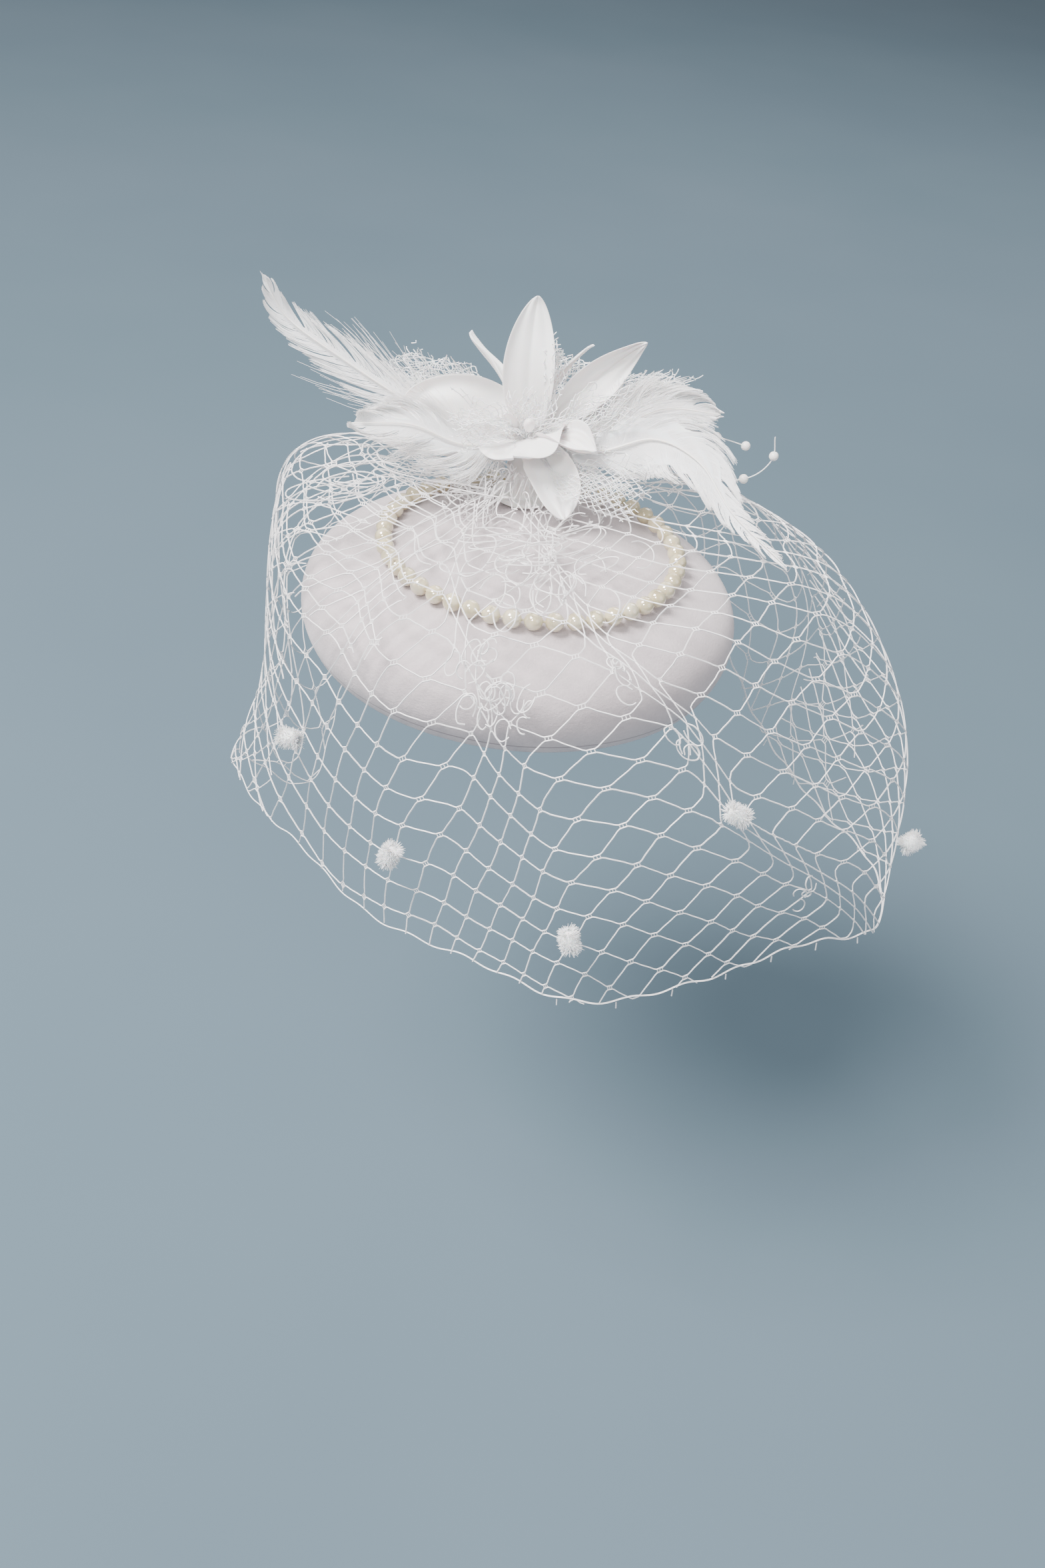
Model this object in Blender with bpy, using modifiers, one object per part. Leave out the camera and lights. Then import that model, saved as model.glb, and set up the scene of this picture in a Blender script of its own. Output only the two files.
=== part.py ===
"""Pillbox hat of pale felt, with a ring of pearls, a spotted net veil and a spray of petals and feathers.

Metres, +Z up. The origin is the middle of the rim's plane, where the hat sits on the head. The front
of the hat faces -Y and the spray is sewn near the back of the top.
"""
import math

import bmesh
import bpy
from mathutils import Matrix, Vector

CLEARANCE = 0.0003
NEARBY = 0.004

# Felt crown
RIM_RADIUS = 0.0809
BELLY_RADIUS = 0.0854
BELLY_HEIGHT = 0.013
CROWN_HEIGHT = 0.041
CROWN_FULLNESS = 2.65
FELT = 0.0025
CROWN_STEPS = 36
CAP_RINGS = 6
SKIRT_RINGS = 3
CAP_SPACING = 0.9
SKIRT_TUCK = 1.8

# Pearl ring
RING_RADIUS = 0.057
RING_X = 0.002
PEARL_RADIUS = 0.0035
PEARLS = 46
THREAD_RADIUS = 0.0008
PEARL_STATIONS = (-0.96, -0.42, 0.42, 0.96)

# Net veil
VEIL_DROP = 0.088
VEIL_SHEET = 0.0011
VEIL_STRAND = 0.0046
VEIL_COLUMNS = 17
VEIL_ROWS = 4
GATHER_ROWS = 2
GATHER_SHARE = 0.22
GATHER_REACH = 0.0275
GATHER_TOP = 0.0098
GATHER_EDGE = 0.0053
STATION_SHARES = (0.0, 0.08, 0.33, 0.48, 0.74, 1.0)
DOT_RADIUS = 0.0045
DOT_LENGTH = 0.0085
DOT_SIDES = 8
DOT_SEAT = 0.0003

# Spray: a felt base and stem that the net is gathered round, with a round head that carries the rest
STEM_X = -0.004
STEM_Y = 0.040
STEM_RADIUS = 0.0075
BASE_RADIUS = 0.0120
BASE_THICKNESS = 0.0020
HEAD_RADIUS = 0.0095
HEAD_HEIGHT = 0.634 * CROWN_HEIGHT
HEAD_STEPS = 12
HEAD_RINGS = 5
SPREAD = 0.100
PETAL_WIDTH = 0.018
PETAL = 0.0009
PETAL_GRID = (2, 7)
FEATHER_WIDTH = 0.030
VANE = 0.0012
VANE_GRID = (2, 12)
LOCK_DEPTH = 0.28
TUFT_WIDTH = 0.030
TUFT = 0.0014
TUFT_GRID = (4, 5)
TUFT_FOLD = 0.05
STAMEN_RADIUS = 0.0024
STAMEN_LENGTH = 0.0075
STAMEN_SIDES = 8
STAMEN_RINGS = 5
SEED_RADIUS = 0.0019
SEED_STATIONS = (-0.92, -0.3, 0.3, 0.92)
WIRE_RADIUS = 0.0005
WIRE_SPANS = 7

# Petals: the way out of the head and the tip as shares of SPREAD from the head's middle, the side
# that the petal faces, its width as a share of PETAL_WIDTH, and how deep it is cupped in widths
PETALS = {
    "petal_upright": (((-0.04, 0.00, 0.27), (-0.05, 0.12, 0.53)), (0.0, -1.0, 0.2), 1.05, 0.10),
    "petal_right": (((0.20, 0.08, 0.20), (0.41, 0.20, 0.37)), (0.3, -1.0, 0.3), 0.80, 0.12),
    "petal_edge": (((-0.14, 0.11, 0.20), (-0.29, 0.20, 0.31)), (1.0, -0.3, 0.3), 0.50, 0.20),
    "petal_spike": (((0.06, 0.12, 0.18), (0.20, 0.16, 0.36)), (0.8, -0.6, 0.0), 0.40, 0.20),
    "petal_left": (((-0.25, 0.05, 0.10), (-0.49, 0.08, 0.13)), (0.0, -1.0, 0.6), 1.10, 0.12),
    "petal_front": (((-0.12, -0.11, 0.03), (-0.18, -0.20, -0.02)), (0.0, -0.4, 1.0), 0.85, 0.15),
    "petal_curled": (((0.13, -0.12, 0.08), (0.27, -0.21, 0.06)), (0.0, -0.5, 1.0), 0.90, 0.15),
    "petal_hanging": (((0.08, -0.19, -0.04), (0.16, -0.28, -0.18)), (0.1, -1.0, 0.3), 0.85, 0.12),
}

# Feathers: the same columns, with a path of more points and FEATHER_WIDTH
FEATHERS = {
    "feather_hackle": (((-0.20, 0.10, -0.12), (-0.49, 0.10, 0.04), (-0.77, 0.15, 0.17), (-1.00, 0.20, 0.29),
                        (-1.10, 0.20, 0.45)), (0.0, -1.0, 0.3), 0.66, 0.05),
    "feather_left": (((-0.24, -0.10, -0.02), (-0.46, -0.13, 0.05), (-0.69, -0.16, 0.04)),
                     (0.0, -0.75, 0.66), 0.98, 0.08),
    "feather_sweep": (((0.26, -0.10, 0.02), (0.48, -0.10, 0.10), (0.66, -0.22, 0.08), (0.80, -0.42, -0.02),
                       (1.00, -0.70, -0.07)), (0.3, -1.0, 0.7), 0.85, 0.08),
    "feather_right": (((0.34, 0.08, 0.06), (0.52, 0.09, 0.15), (0.74, 0.08, 0.16)),
                      (0.0, -1.0, 0.5), 1.15, 0.08),
}

# Tufts of crinkled net: the same columns with TUFT_WIDTH
TUFTS = {
    "tuft_left": (((-0.20, 0.20, 0.02), (-0.32, 0.24, 0.10), (-0.45, 0.24, 0.17)),
                  (0.0, -1.0, 0.3), 0.85, 0.10),
    "tuft_top": (((0.00, 0.20, 0.14), (0.03, 0.25, 0.24), (0.07, 0.26, 0.35)),
                 (0.0, -1.0, 0.3), 0.85, 0.10),
    "tuft_right": (((0.20, 0.18, 0.04), (0.38, 0.25, 0.10), (0.58, 0.24, 0.14)),
                   (0.0, -1.0, 0.3), 0.90, 0.10),
    "tuft_front": (((0.14, -0.10, -0.14), (0.28, -0.14, -0.14), (0.43, -0.16, -0.12)),
                   (0.0, -0.6, 1.0), 0.60, 0.10),
}

# Bead sprays: the wire's path as shares of SPREAD, and the places along it where a bead is threaded
SPRAYS = {
    "bead_spray_upper": (((0.20, 0.14, -0.06), (0.40, 0.17, 0.00), (0.62, 0.16, 0.04), (0.76, 0.13, 0.04),
                          (0.87, 0.12, 0.02)), (0.86, 0.99)),
    "bead_spray_lower": (((0.22, 0.04, -0.14), (0.45, 0.05, -0.16), (0.68, 0.02, -0.11), (0.88, 0.00, -0.06),
                          (0.965, 0.00, 0.03), (0.96, 0.00, 0.13)), (0.77, 0.90)),
}

# Stamens: the way out of the head
STAMENS = {
    "stamen_left": (-0.48, -0.58, 0.66),
    "stamen_right": (-0.02, -0.75, 0.66),
}

# Veil sections round the stem, from its left end at the back, past the front, to its right end.
# Places of the hem are shares of BELLY_RADIUS. A station lies at a share of the way out from the stem
# to the hem. Heights are shares of CROWN_HEIGHT above the rim's plane and of VEIL_DROP below it.
#   hem_x  hem_y  hem_up | crest out, up | shoulder out, up | side out, up
VEIL_SECTIONS = (
    (-0.56, 1.01, 0.25, 0.50, 1.22, 0.85, 1.07, 0.97, 0.73),
    (-0.84, 0.66, -0.70, 1.00, 1.29, 1.40, 0.68, 1.32, -0.32),
    (-0.97, 0.28, -1.18, 0.87, 1.51, 1.20, 1.07, 1.14, -0.45),
    (-1.31, -0.02, -0.83, 0.66, 1.41, 0.87, 0.90, 0.90, -0.36),
    (-1.14, -0.39, -0.84, 0.62, 1.22, 0.89, 0.80, 0.94, -0.36),
    (-0.87, -0.70, -0.83, 0.64, 1.16, 0.93, 0.76, 1.00, -0.17),
    (-0.50, -1.04, -0.90, 0.66, 1.14, 0.92, 0.78, 1.00, -0.17),
    (-0.02, -1.25, -0.91, 0.66, 1.13, 0.87, 0.80, 0.98, -0.22),
    (0.47, -1.37, -0.97, 0.62, 1.13, 0.82, 0.85, 0.97, -0.22),
    (0.98, -1.21, -0.92, 0.58, 1.16, 0.80, 0.93, 0.97, -0.20),
    (1.46, -0.90, -0.90, 0.54, 1.22, 0.78, 0.98, 0.97, -0.20),
    (1.87, -0.59, -0.99, 0.50, 1.30, 0.74, 1.10, 0.95, -0.12),
    (1.90, -0.12, -0.98, 0.50, 1.37, 0.74, 1.15, 0.96, -0.08),
    (1.60, 0.32, -0.92, 0.55, 1.39, 0.83, 0.96, 1.03, -0.17),
    (1.31, 0.73, -0.75, 0.62, 1.22, 0.92, 0.73, 1.12, -0.17),
    (0.96, 0.98, -0.23, 0.60, 1.22, 0.95, 0.83, 1.10, 0.20),
    (0.61, 1.03, 0.30, 0.50, 1.22, 0.85, 1.07, 0.97, 0.73),
)

# Chenille dots: share of the way across the veil from its left end, and down from the stem to the hem
VEIL_DOTS = (
    (0.31, 0.76),
    (0.39, 0.84),
    (0.49, 0.87),
    (0.57, 0.69),
    (0.70, 0.87),
)


def add_collection(name):
    collection = bpy.data.collections.new(name)
    bpy.context.scene.collection.children.link(collection)
    return collection


def add_material(name, colour, roughness, metallic=0.0):
    material = bpy.data.materials.new(name)
    material.use_nodes = True
    shader = material.node_tree.nodes["Principled BSDF"]
    shader.inputs["Base Color"].default_value = (*colour, 1.0)
    shader.inputs["Roughness"].default_value = roughness
    shader.inputs["Metallic"].default_value = metallic
    return material


def add_object(name, data, material, collection):
    part = bpy.data.objects.new(name, data)
    data.materials.append(material)
    collection.objects.link(part)
    return part


def smooth(part, angle=40.0):
    part.data.shade_smooth()
    part.data.set_sharp_from_angle(angle=math.radians(angle))


def spline(points, share):
    """A place on the smooth curve through all the points, which are spread evenly from 0 to 1."""
    last = len(points) - 1
    at = min(max(share, 0.0), 1.0) * last
    i = min(int(at), last - 1)
    t = at - i
    p1, p2 = points[i], points[i + 1]
    p0 = points[i - 1] if i > 0 else 2 * p1 - p2
    p3 = points[i + 2] if i + 2 <= last else 2 * p2 - p1
    return 0.5 * (2 * p1 + (p2 - p0) * t + (2 * p0 - 5 * p1 + 4 * p2 - p3) * t ** 2
                  + (3 * p1 - p0 - 3 * p2 + p3) * t ** 3)


def crown_height(radius):
    """Height of the felt's outer surface above the rim's plane, inside the belly."""
    share = min(radius / BELLY_RADIUS, 1.0) ** CROWN_FULLNESS
    return BELLY_HEIGHT + (CROWN_HEIGHT - BELLY_HEIGHT) * (1.0 - share) ** (1.0 / CROWN_FULLNESS)


def crown_outline():
    """Radius and height down the outer side of the felt, from the middle of the top to the rim."""
    outline = []
    for i in range(CAP_RINGS + 1):
        turn = math.radians(90.0 * (1.0 - (i / CAP_RINGS) ** CAP_SPACING))
        across = math.cos(turn) ** (2.0 / CROWN_FULLNESS)
        up = math.sin(turn) ** (2.0 / CROWN_FULLNESS)
        outline.append((BELLY_RADIUS * across, BELLY_HEIGHT + (CROWN_HEIGHT - BELLY_HEIGHT) * up))
    for i in range(1, SKIRT_RINGS + 1):
        down = i / SKIRT_RINGS
        radius = BELLY_RADIUS - (BELLY_RADIUS - RIM_RADIUS) * down ** SKIRT_TUCK
        outline.append((radius, BELLY_HEIGHT * (1 - down)))
    return [Vector((r, z)) for r, z in outline]


def inset_outline(outline, distance):
    """The same outline moved inwards by the felt's thickness; its ends stay on the axis and the rim."""
    inner = []
    for i, point in enumerate(outline):
        before = outline[max(i - 1, 0)]
        after = outline[min(i + 1, len(outline) - 1)]
        along = (after - before).normalized()
        inner.append(point + Vector((along.y, -along.x)) * distance)
    inner[0] = Vector((0.0, outline[0].y - distance))
    inner[-1].y = 0.0
    return inner


def add_crown(collection):
    outer = crown_outline()
    section = outer + inset_outline(outer, FELT)[::-1]
    mesh = bpy.data.meshes.new("crown")
    mesh.from_pydata([(p.x, 0.0, p.y) for p in section], [(i, i + 1) for i in range(len(section) - 1)], [])
    crown = add_object("crown", mesh, add_material("felt", (0.72, 0.68, 0.68), 0.95), collection)
    turn = crown.modifiers.new("turn", "SCREW")
    turn.steps = turn.render_steps = CROWN_STEPS
    turn.use_merge_vertices = True
    turn.merge_threshold = 0.00001
    turn.use_smooth_shade = True
    return crown


def ring_height():
    """Height of the pearls' middle, where they rest on the sloping felt."""
    nearest = RING_RADIUS - RING_X
    slope = (crown_height(nearest + CLEARANCE) - crown_height(nearest - CLEARANCE)) / (2 * CLEARANCE)
    return crown_height(nearest) + (PEARL_RADIUS + CLEARANCE) * math.hypot(1.0, slope)


def add_pearl_ring(collection):
    """Pearls threaded close together in a closed ring, as one tube whose radius swells at each."""
    pitch = 2 * math.pi * RING_RADIUS / PEARLS
    stations = []
    for place in PEARL_STATIONS:
        stations.append((place * PEARL_RADIUS, max(THREAD_RADIUS, PEARL_RADIUS * math.sqrt(1 - place ** 2))))
    curve = bpy.data.curves.new("pearl_ring", "CURVE")
    curve.dimensions = "3D"
    curve.bevel_depth = 1.0
    curve.bevel_resolution = 3
    line = curve.splines.new("POLY")
    line.points.add(PEARLS * len(stations) - 1)
    line.use_cyclic_u = True
    points = iter(line.points)
    for i in range(PEARLS):
        for along, radius in stations:
            angle = (i * pitch + along) / RING_RADIUS
            point = next(points)
            place = (RING_X + RING_RADIUS * math.cos(angle), RING_RADIUS * math.sin(angle), ring_height())
            point.co = (*place, 1.0)
            point.radius = radius
    return add_object("pearl_ring", curve, add_material("pearl", (0.80, 0.77, 0.66), 0.25), collection)


def veil_height(share):
    return share * (CROWN_HEIGHT if share > 0 else VEIL_DROP)


def veil_section(row):
    """Stations of one section of the veil, from the stem's side to the hem."""
    hem_x, hem_y, hem_up, crest_out, crest_up, shoulder_out, shoulder_up, side_out, side_up = row
    hem = Vector((hem_x * BELLY_RADIUS - STEM_X, hem_y * BELLY_RADIUS - STEM_Y))
    reach = hem.length
    out = hem.normalized()
    start = STEM_RADIUS + CLEARANCE + VEIL_STRAND / 4
    stations = (
        (start, CROWN_HEIGHT + GATHER_TOP),
        (GATHER_REACH, CROWN_HEIGHT + GATHER_EDGE),
        (crest_out * reach, crest_up * CROWN_HEIGHT),
        (shoulder_out * reach, shoulder_up * CROWN_HEIGHT),
        (side_out * reach, veil_height(side_up)),
        (reach, veil_height(hem_up)),
    )
    return [Vector((STEM_X + out.x * r, STEM_Y + out.y * r, z)) for r, z in stations]


SECTIONS = [veil_section(row) for row in VEIL_SECTIONS]


def veil_point(across, down):
    """A place on the veil: across from its left end to its right one, and down from stem to hem."""
    down = min(max(down, 0.0), 1.0)
    i = max(k for k in range(len(STATION_SHARES) - 1) if STATION_SHARES[k] <= down or k == 0)
    step = (down - STATION_SHARES[i]) / (STATION_SHARES[i + 1] - STATION_SHARES[i])
    share = (i + step) / (len(STATION_SHARES) - 1)
    rail = [spline(section, share) for section in SECTIONS]
    return spline(rail, across)


def veil_directions(across, down):
    """Along the hem, and out of the veil, at a place on it."""
    along = (veil_point(across + NEARBY, down) - veil_point(across - NEARBY, down)).normalized()
    down_way = veil_point(across, down + NEARBY) - veil_point(across, down - NEARBY)
    return along, down_way.cross(along).normalized()


def row_of(down):
    """Where a share of the way down lies in the grid, whose gathered rows are closer together."""
    gather = GATHER_ROWS / (VEIL_ROWS + GATHER_ROWS)
    if down < GATHER_SHARE:
        return down / GATHER_SHARE * gather
    return gather + (down - GATHER_SHARE) / (1 - GATHER_SHARE) * (1 - gather)


def down_of(row):
    """The way back from a place in the grid to the share of the way down."""
    gather = GATHER_ROWS / (VEIL_ROWS + GATHER_ROWS)
    if row < gather:
        return row / gather * GATHER_SHARE
    return GATHER_SHARE + (row - gather) / (1 - gather) * (1 - GATHER_SHARE)


def is_gathered(face):
    return 0.5 - face.calc_center_median().y < GATHER_ROWS / (VEIL_ROWS + GATHER_ROWS)


def veil_cells(mesh):
    """A grid on the unit square, turned into diamonds, with a knot at the place of each dot."""
    rows = VEIL_ROWS + GATHER_ROWS
    bmesh.ops.create_grid(mesh, x_segments=VEIL_COLUMNS, y_segments=rows, size=0.5)
    old_edges = set(mesh.edges)
    bmesh.ops.poke(mesh, faces=[face for face in mesh.faces if not is_gathered(face)])
    between = []
    for edge in old_edges:
        poked = all(len(face.verts) == 3 for face in edge.link_faces)
        if len(edge.link_faces) == 2 and poked:
            between.append(edge)
    bmesh.ops.dissolve_edges(mesh, edges=between, use_verts=False)
    for across, down in VEIL_DOTS:
        tie_knot(mesh, Vector((across - 0.5, 0.5 - row_of(down), 0.0)))


def tie_knot(mesh, place):
    """Part the diamond round the place into an upper and a lower half, joined at a knot."""
    rows = VEIL_ROWS + GATHER_ROWS

    def away(face):
        offset = face.calc_center_median() - place
        return abs(offset.x) * VEIL_COLUMNS + abs(offset.y) * rows

    cell = min((face for face in mesh.faces if len(face.verts) == 4), key=away)
    knot = bmesh.ops.poke(mesh, faces=[cell])["verts"][0]
    level = []
    for edge in knot.link_edges:
        if abs(edge.other_vert(knot).co.y - knot.co.y) < 0.25 / rows:
            level.append(edge)
    bmesh.ops.dissolve_edges(mesh, edges=level, use_verts=False)
    knot.co = place


def add_veil(collection):
    """The net: strands between diamond gaps that are cut through, gathered in close under the spray."""
    mesh = bmesh.new()
    veil_cells(mesh)
    cells = [face for face in mesh.faces if not is_gathered(face)]
    for vertex in mesh.verts:
        vertex.co = veil_point(vertex.co.x + 0.5, down_of(0.5 - vertex.co.y))
    bmesh.ops.inset_individual(mesh, faces=cells, thickness=VEIL_STRAND / 2, use_even_offset=False)
    bmesh.ops.delete(mesh, geom=cells, context="FACES")
    data = bpy.data.meshes.new("veil")
    mesh.to_mesh(data)
    mesh.free()
    veil = add_object("veil", data, add_material("net", (0.90, 0.90, 0.90), 0.5), collection)
    wall = veil.modifiers.new("sheet", "SOLIDIFY")
    wall.thickness = VEIL_SHEET
    wall.offset = 0.0
    return veil


def add_dots(collection):
    """Chenille dots, short fluffy rolls that lie on the outside of the net's knots."""
    fluff = add_material("chenille", (0.92, 0.91, 0.90), 1.0)
    lift = VEIL_SHEET / 2 + CLEARANCE + DOT_SEAT + DOT_RADIUS
    for number, (across, down) in enumerate(VEIL_DOTS, 1):
        along, out = veil_directions(across, down)
        mesh = bmesh.new()
        turn = Vector((0.0, 0.0, 1.0)).rotation_difference(along).to_matrix().to_4x4()
        place = Matrix.Translation(veil_point(across, down) + out * lift) @ turn
        bmesh.ops.create_cone(mesh, cap_ends=True, segments=DOT_SIDES, radius1=DOT_RADIUS,
                              radius2=DOT_RADIUS, depth=DOT_LENGTH, matrix=place)
        data = bpy.data.meshes.new(f"chenille_dot_{number}")
        mesh.to_mesh(data)
        mesh.free()
        dot = add_object(f"chenille_dot_{number}", data, fluff, collection)
        edge = dot.modifiers.new("edge", "BEVEL")
        edge.width = DOT_RADIUS / 4
        edge.segments = 1
        edge.limit_method = "ANGLE"
        edge.angle_limit = math.radians(60.0)


def head_middle():
    return Vector((STEM_X, STEM_Y, CROWN_HEIGHT + HEAD_HEIGHT))


def turned(name, profile, material, collection):
    """A body turned about the stem's axis from radius and height, top to bottom."""
    mesh = bpy.data.meshes.new(name)
    mesh.from_pydata([(r, 0.0, z) for r, z in profile], [(i, i + 1) for i in range(len(profile) - 1)], [])
    body = add_object(name, mesh, material, collection)
    body.location = (STEM_X, STEM_Y, 0.0)
    turn = body.modifiers.new("turn", "SCREW")
    turn.steps = turn.render_steps = HEAD_STEPS
    turn.use_merge_vertices = True
    turn.merge_threshold = 0.00001
    return body


def head_profile(room):
    """Outline of the stem and its head, from the top down, with a margin all round it."""
    radius = HEAD_RADIUS + room
    middle = head_middle().z
    neck = -math.sqrt(radius ** 2 - (STEM_RADIUS + room) ** 2)
    profile = []
    for i in range(HEAD_RINGS + 1):
        turn = math.pi / 2 - i / HEAD_RINGS * (math.pi / 2 - math.asin(neck / radius))
        profile.append((radius * math.cos(turn), middle + radius * math.sin(turn)))
    profile[0] = (0.0, middle + radius)
    return profile


def add_spray_base(collection):
    """A felt disc on the crown, the stem and the round head on it, in one piece."""
    bottom = CROWN_HEIGHT + CLEARANCE
    top = bottom + BASE_THICKNESS
    disc = [(STEM_RADIUS, top), (BASE_RADIUS, top), (BASE_RADIUS, bottom), (0.0, bottom)]
    felt = add_material("base_felt", (0.85, 0.84, 0.82), 0.95)
    return turned("spray_base", head_profile(0.0) + disc, felt, collection)


def add_head_room(collection):
    """The room that the head takes, with its clearance: what is fixed to the head is cut back to it."""
    profile = head_profile(CLEARANCE) + [(STEM_RADIUS + CLEARANCE, CROWN_HEIGHT), (0.0, CROWN_HEIGHT)]
    room = turned("head_room", profile, add_material("room", (1.0, 0.3, 0.3), 1.0), collection)
    room.hide_render = True
    room.display_type = "WIRE"
    return room


def cut_back(part, room):
    cut = part.modifiers.new("head_room", "BOOLEAN")
    cut.operation = "DIFFERENCE"
    cut.solver = "EXACT"
    cut.object = room


def petal_width(share):
    """Width along a petal, from its root to its pointed tip."""
    full = math.sin(math.pi * min(share * 0.92 + 0.08, 1.0) ** 1.15) ** 0.75
    return max(0.06, full * min(1.0, 0.45 + 1.8 * share))


def vane_width(share):
    """Width along a feather: a bare quill, a full vane and a rounded tip."""
    return max(0.08, math.sin(math.pi * share ** 0.75) ** 0.6 * (0.25 + 0.75 * min(share / 0.3, 1.0)))


def tuft_width(share):
    """Width along a tuft of net, a fan that opens from its tied end."""
    return 0.10 + 0.90 * share ** 0.8


def blade(name, row, width, profile, grid, thickness, material, room, collection, edge=None):
    """A thin curved leaf from the head outwards, whose edge may be split into locks or folded."""
    path, facing, share, cup = row
    points = [head_middle()] + [head_middle() + Vector(p) * SPREAD for p in path]
    lanes, rings = grid
    mesh = bmesh.new()
    bmesh.ops.create_grid(mesh, x_segments=lanes, y_segments=rings, size=0.5)
    for vertex in mesh.verts:
        side = 2 * vertex.co.x
        out = vertex.co.y + 0.5
        along = (spline(points, min(out + 0.01, 1.0)) - spline(points, max(out - 0.01, 0.0))).normalized()
        aside = along.cross(Vector(facing)).normalized()
        up = aside.cross(along)
        full = profile(out) * width * share
        reach = side
        height = cup * full * side ** 2
        if edge:
            ring = round(out * rings)
            lane = round((vertex.co.x + 0.5) * lanes)
            reach, height = edge(ring, lane, side, height, width * share)
        vertex.co = spline(points, out) + aside * full / 2 * reach + up * height
    data = bpy.data.meshes.new(name)
    mesh.to_mesh(data)
    mesh.free()
    part = add_object(name, data, material, collection)
    wall = part.modifiers.new("leaf", "SOLIDIFY")
    wall.thickness = thickness
    wall.offset = 0.0
    cut_back(part, room)


def locks(ring, lane, side, height, width):
    """Feather: the edge of every other ring is drawn in, so that the vane parts into locks."""
    drawn_in = lane in (0, VANE_GRID[0]) and ring % 2
    return (side * (1 - LOCK_DEPTH if drawn_in else 1), height)


def crinkle(ring, lane, side, height, width):
    """Net tuft: folds along and across it."""
    return (side, height + width * TUFT_FOLD * (-1) ** (ring + lane))


def add_bead_spray(name, row, material, room, collection):
    """Beads threaded on a stiff wire, as one tube whose radius swells at each bead."""
    path, beads = row
    points = [head_middle()] + [head_middle() + Vector(p) * SPREAD for p in path]
    length = sum((b - a).length for a, b in zip(points, points[1:]))
    stations = {i / WIRE_SPANS: WIRE_RADIUS for i in range(WIRE_SPANS + 1)}
    for bead in beads:
        for place in SEED_STATIONS:
            at = min(bead, 1.0 - SEED_RADIUS / length) + place * SEED_RADIUS / length
            stations[at] = max(WIRE_RADIUS, SEED_RADIUS * math.sqrt(1 - place ** 2))
    curve = bpy.data.curves.new(name, "CURVE")
    curve.dimensions = "3D"
    curve.bevel_depth = 1.0
    curve.bevel_resolution = 2
    curve.use_fill_caps = True
    line = curve.splines.new("POLY")
    line.points.add(len(stations) - 1)
    for point, at in zip(line.points, sorted(stations)):
        point.co = (*spline(points, at), 1.0)
        point.radius = stations[at]
    drawn = bpy.data.objects.new(name, curve)
    collection.objects.link(drawn)
    bpy.context.view_layer.update()
    data = bpy.data.meshes.new_from_object(drawn.evaluated_get(bpy.context.evaluated_depsgraph_get()))
    bpy.data.objects.remove(drawn)
    mesh = bmesh.new()
    mesh.from_mesh(data)
    bmesh.ops.remove_doubles(mesh, verts=mesh.verts, dist=0.00001)
    mesh.to_mesh(data)
    mesh.free()
    data.name = name
    cut_back(add_object(name, data, material, collection), room)


def add_stamen(name, way, material, collection):
    """A bud that stands on the head, narrow at its foot."""
    way = Vector(way).normalized()
    mesh = bmesh.new()
    middle = head_middle() + way * (HEAD_RADIUS + CLEARANCE + STAMEN_LENGTH / 2)
    turn = Vector((0.0, 0.0, 1.0)).rotation_difference(way).to_matrix().to_4x4()
    stretch = Matrix.Diagonal((1.0, 1.0, STAMEN_LENGTH / 2 / STAMEN_RADIUS, 1.0))
    bmesh.ops.create_uvsphere(mesh, u_segments=STAMEN_SIDES, v_segments=STAMEN_RINGS, radius=STAMEN_RADIUS,
                              matrix=Matrix.Translation(middle) @ turn @ stretch)
    data = bpy.data.meshes.new(name)
    mesh.to_mesh(data)
    mesh.free()
    smooth(add_object(name, data, material, collection), 60.0)


def add_spray(collection, cutters):
    add_spray_base(collection)
    room = add_head_room(cutters)
    satin = add_material("petal_satin", (0.93, 0.92, 0.91), 0.6)
    down = add_material("feather", (0.95, 0.94, 0.93), 0.8)
    net = add_material("tuft_net", (0.92, 0.92, 0.92), 0.5)
    seed = add_material("seed_pearl", (0.88, 0.87, 0.84), 0.25)
    for name, row in PETALS.items():
        blade(name, row, PETAL_WIDTH, petal_width, PETAL_GRID, PETAL, satin, room, collection)
    for name, row in FEATHERS.items():
        blade(name, row, FEATHER_WIDTH, vane_width, VANE_GRID, VANE, down, room, collection, locks)
    for name, row in TUFTS.items():
        blade(name, row, TUFT_WIDTH, tuft_width, TUFT_GRID, TUFT, net, room, collection, crinkle)
    for name, row in SPRAYS.items():
        add_bead_spray(name, row, seed, room, collection)
    for name, way in STAMENS.items():
        add_stamen(name, way, satin, collection)


def main():
    for old in list(bpy.data.objects):
        bpy.data.objects.remove(old)
    hat = add_collection("pillbox_hat")
    cutters = add_collection("cutters")
    add_crown(hat)
    add_pearl_ring(hat)
    add_veil(hat)
    add_dots(hat)
    add_spray(hat, cutters)


main()
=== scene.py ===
"""Looks of a felt pillbox hat with a ring of pearls, a spotted net veil and a spray of petals, feathers,
crinkled net and beads. Metres, +Z up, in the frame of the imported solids."""
import math

import bpy
import numpy as np
from mathutils import Matrix, Vector


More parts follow.
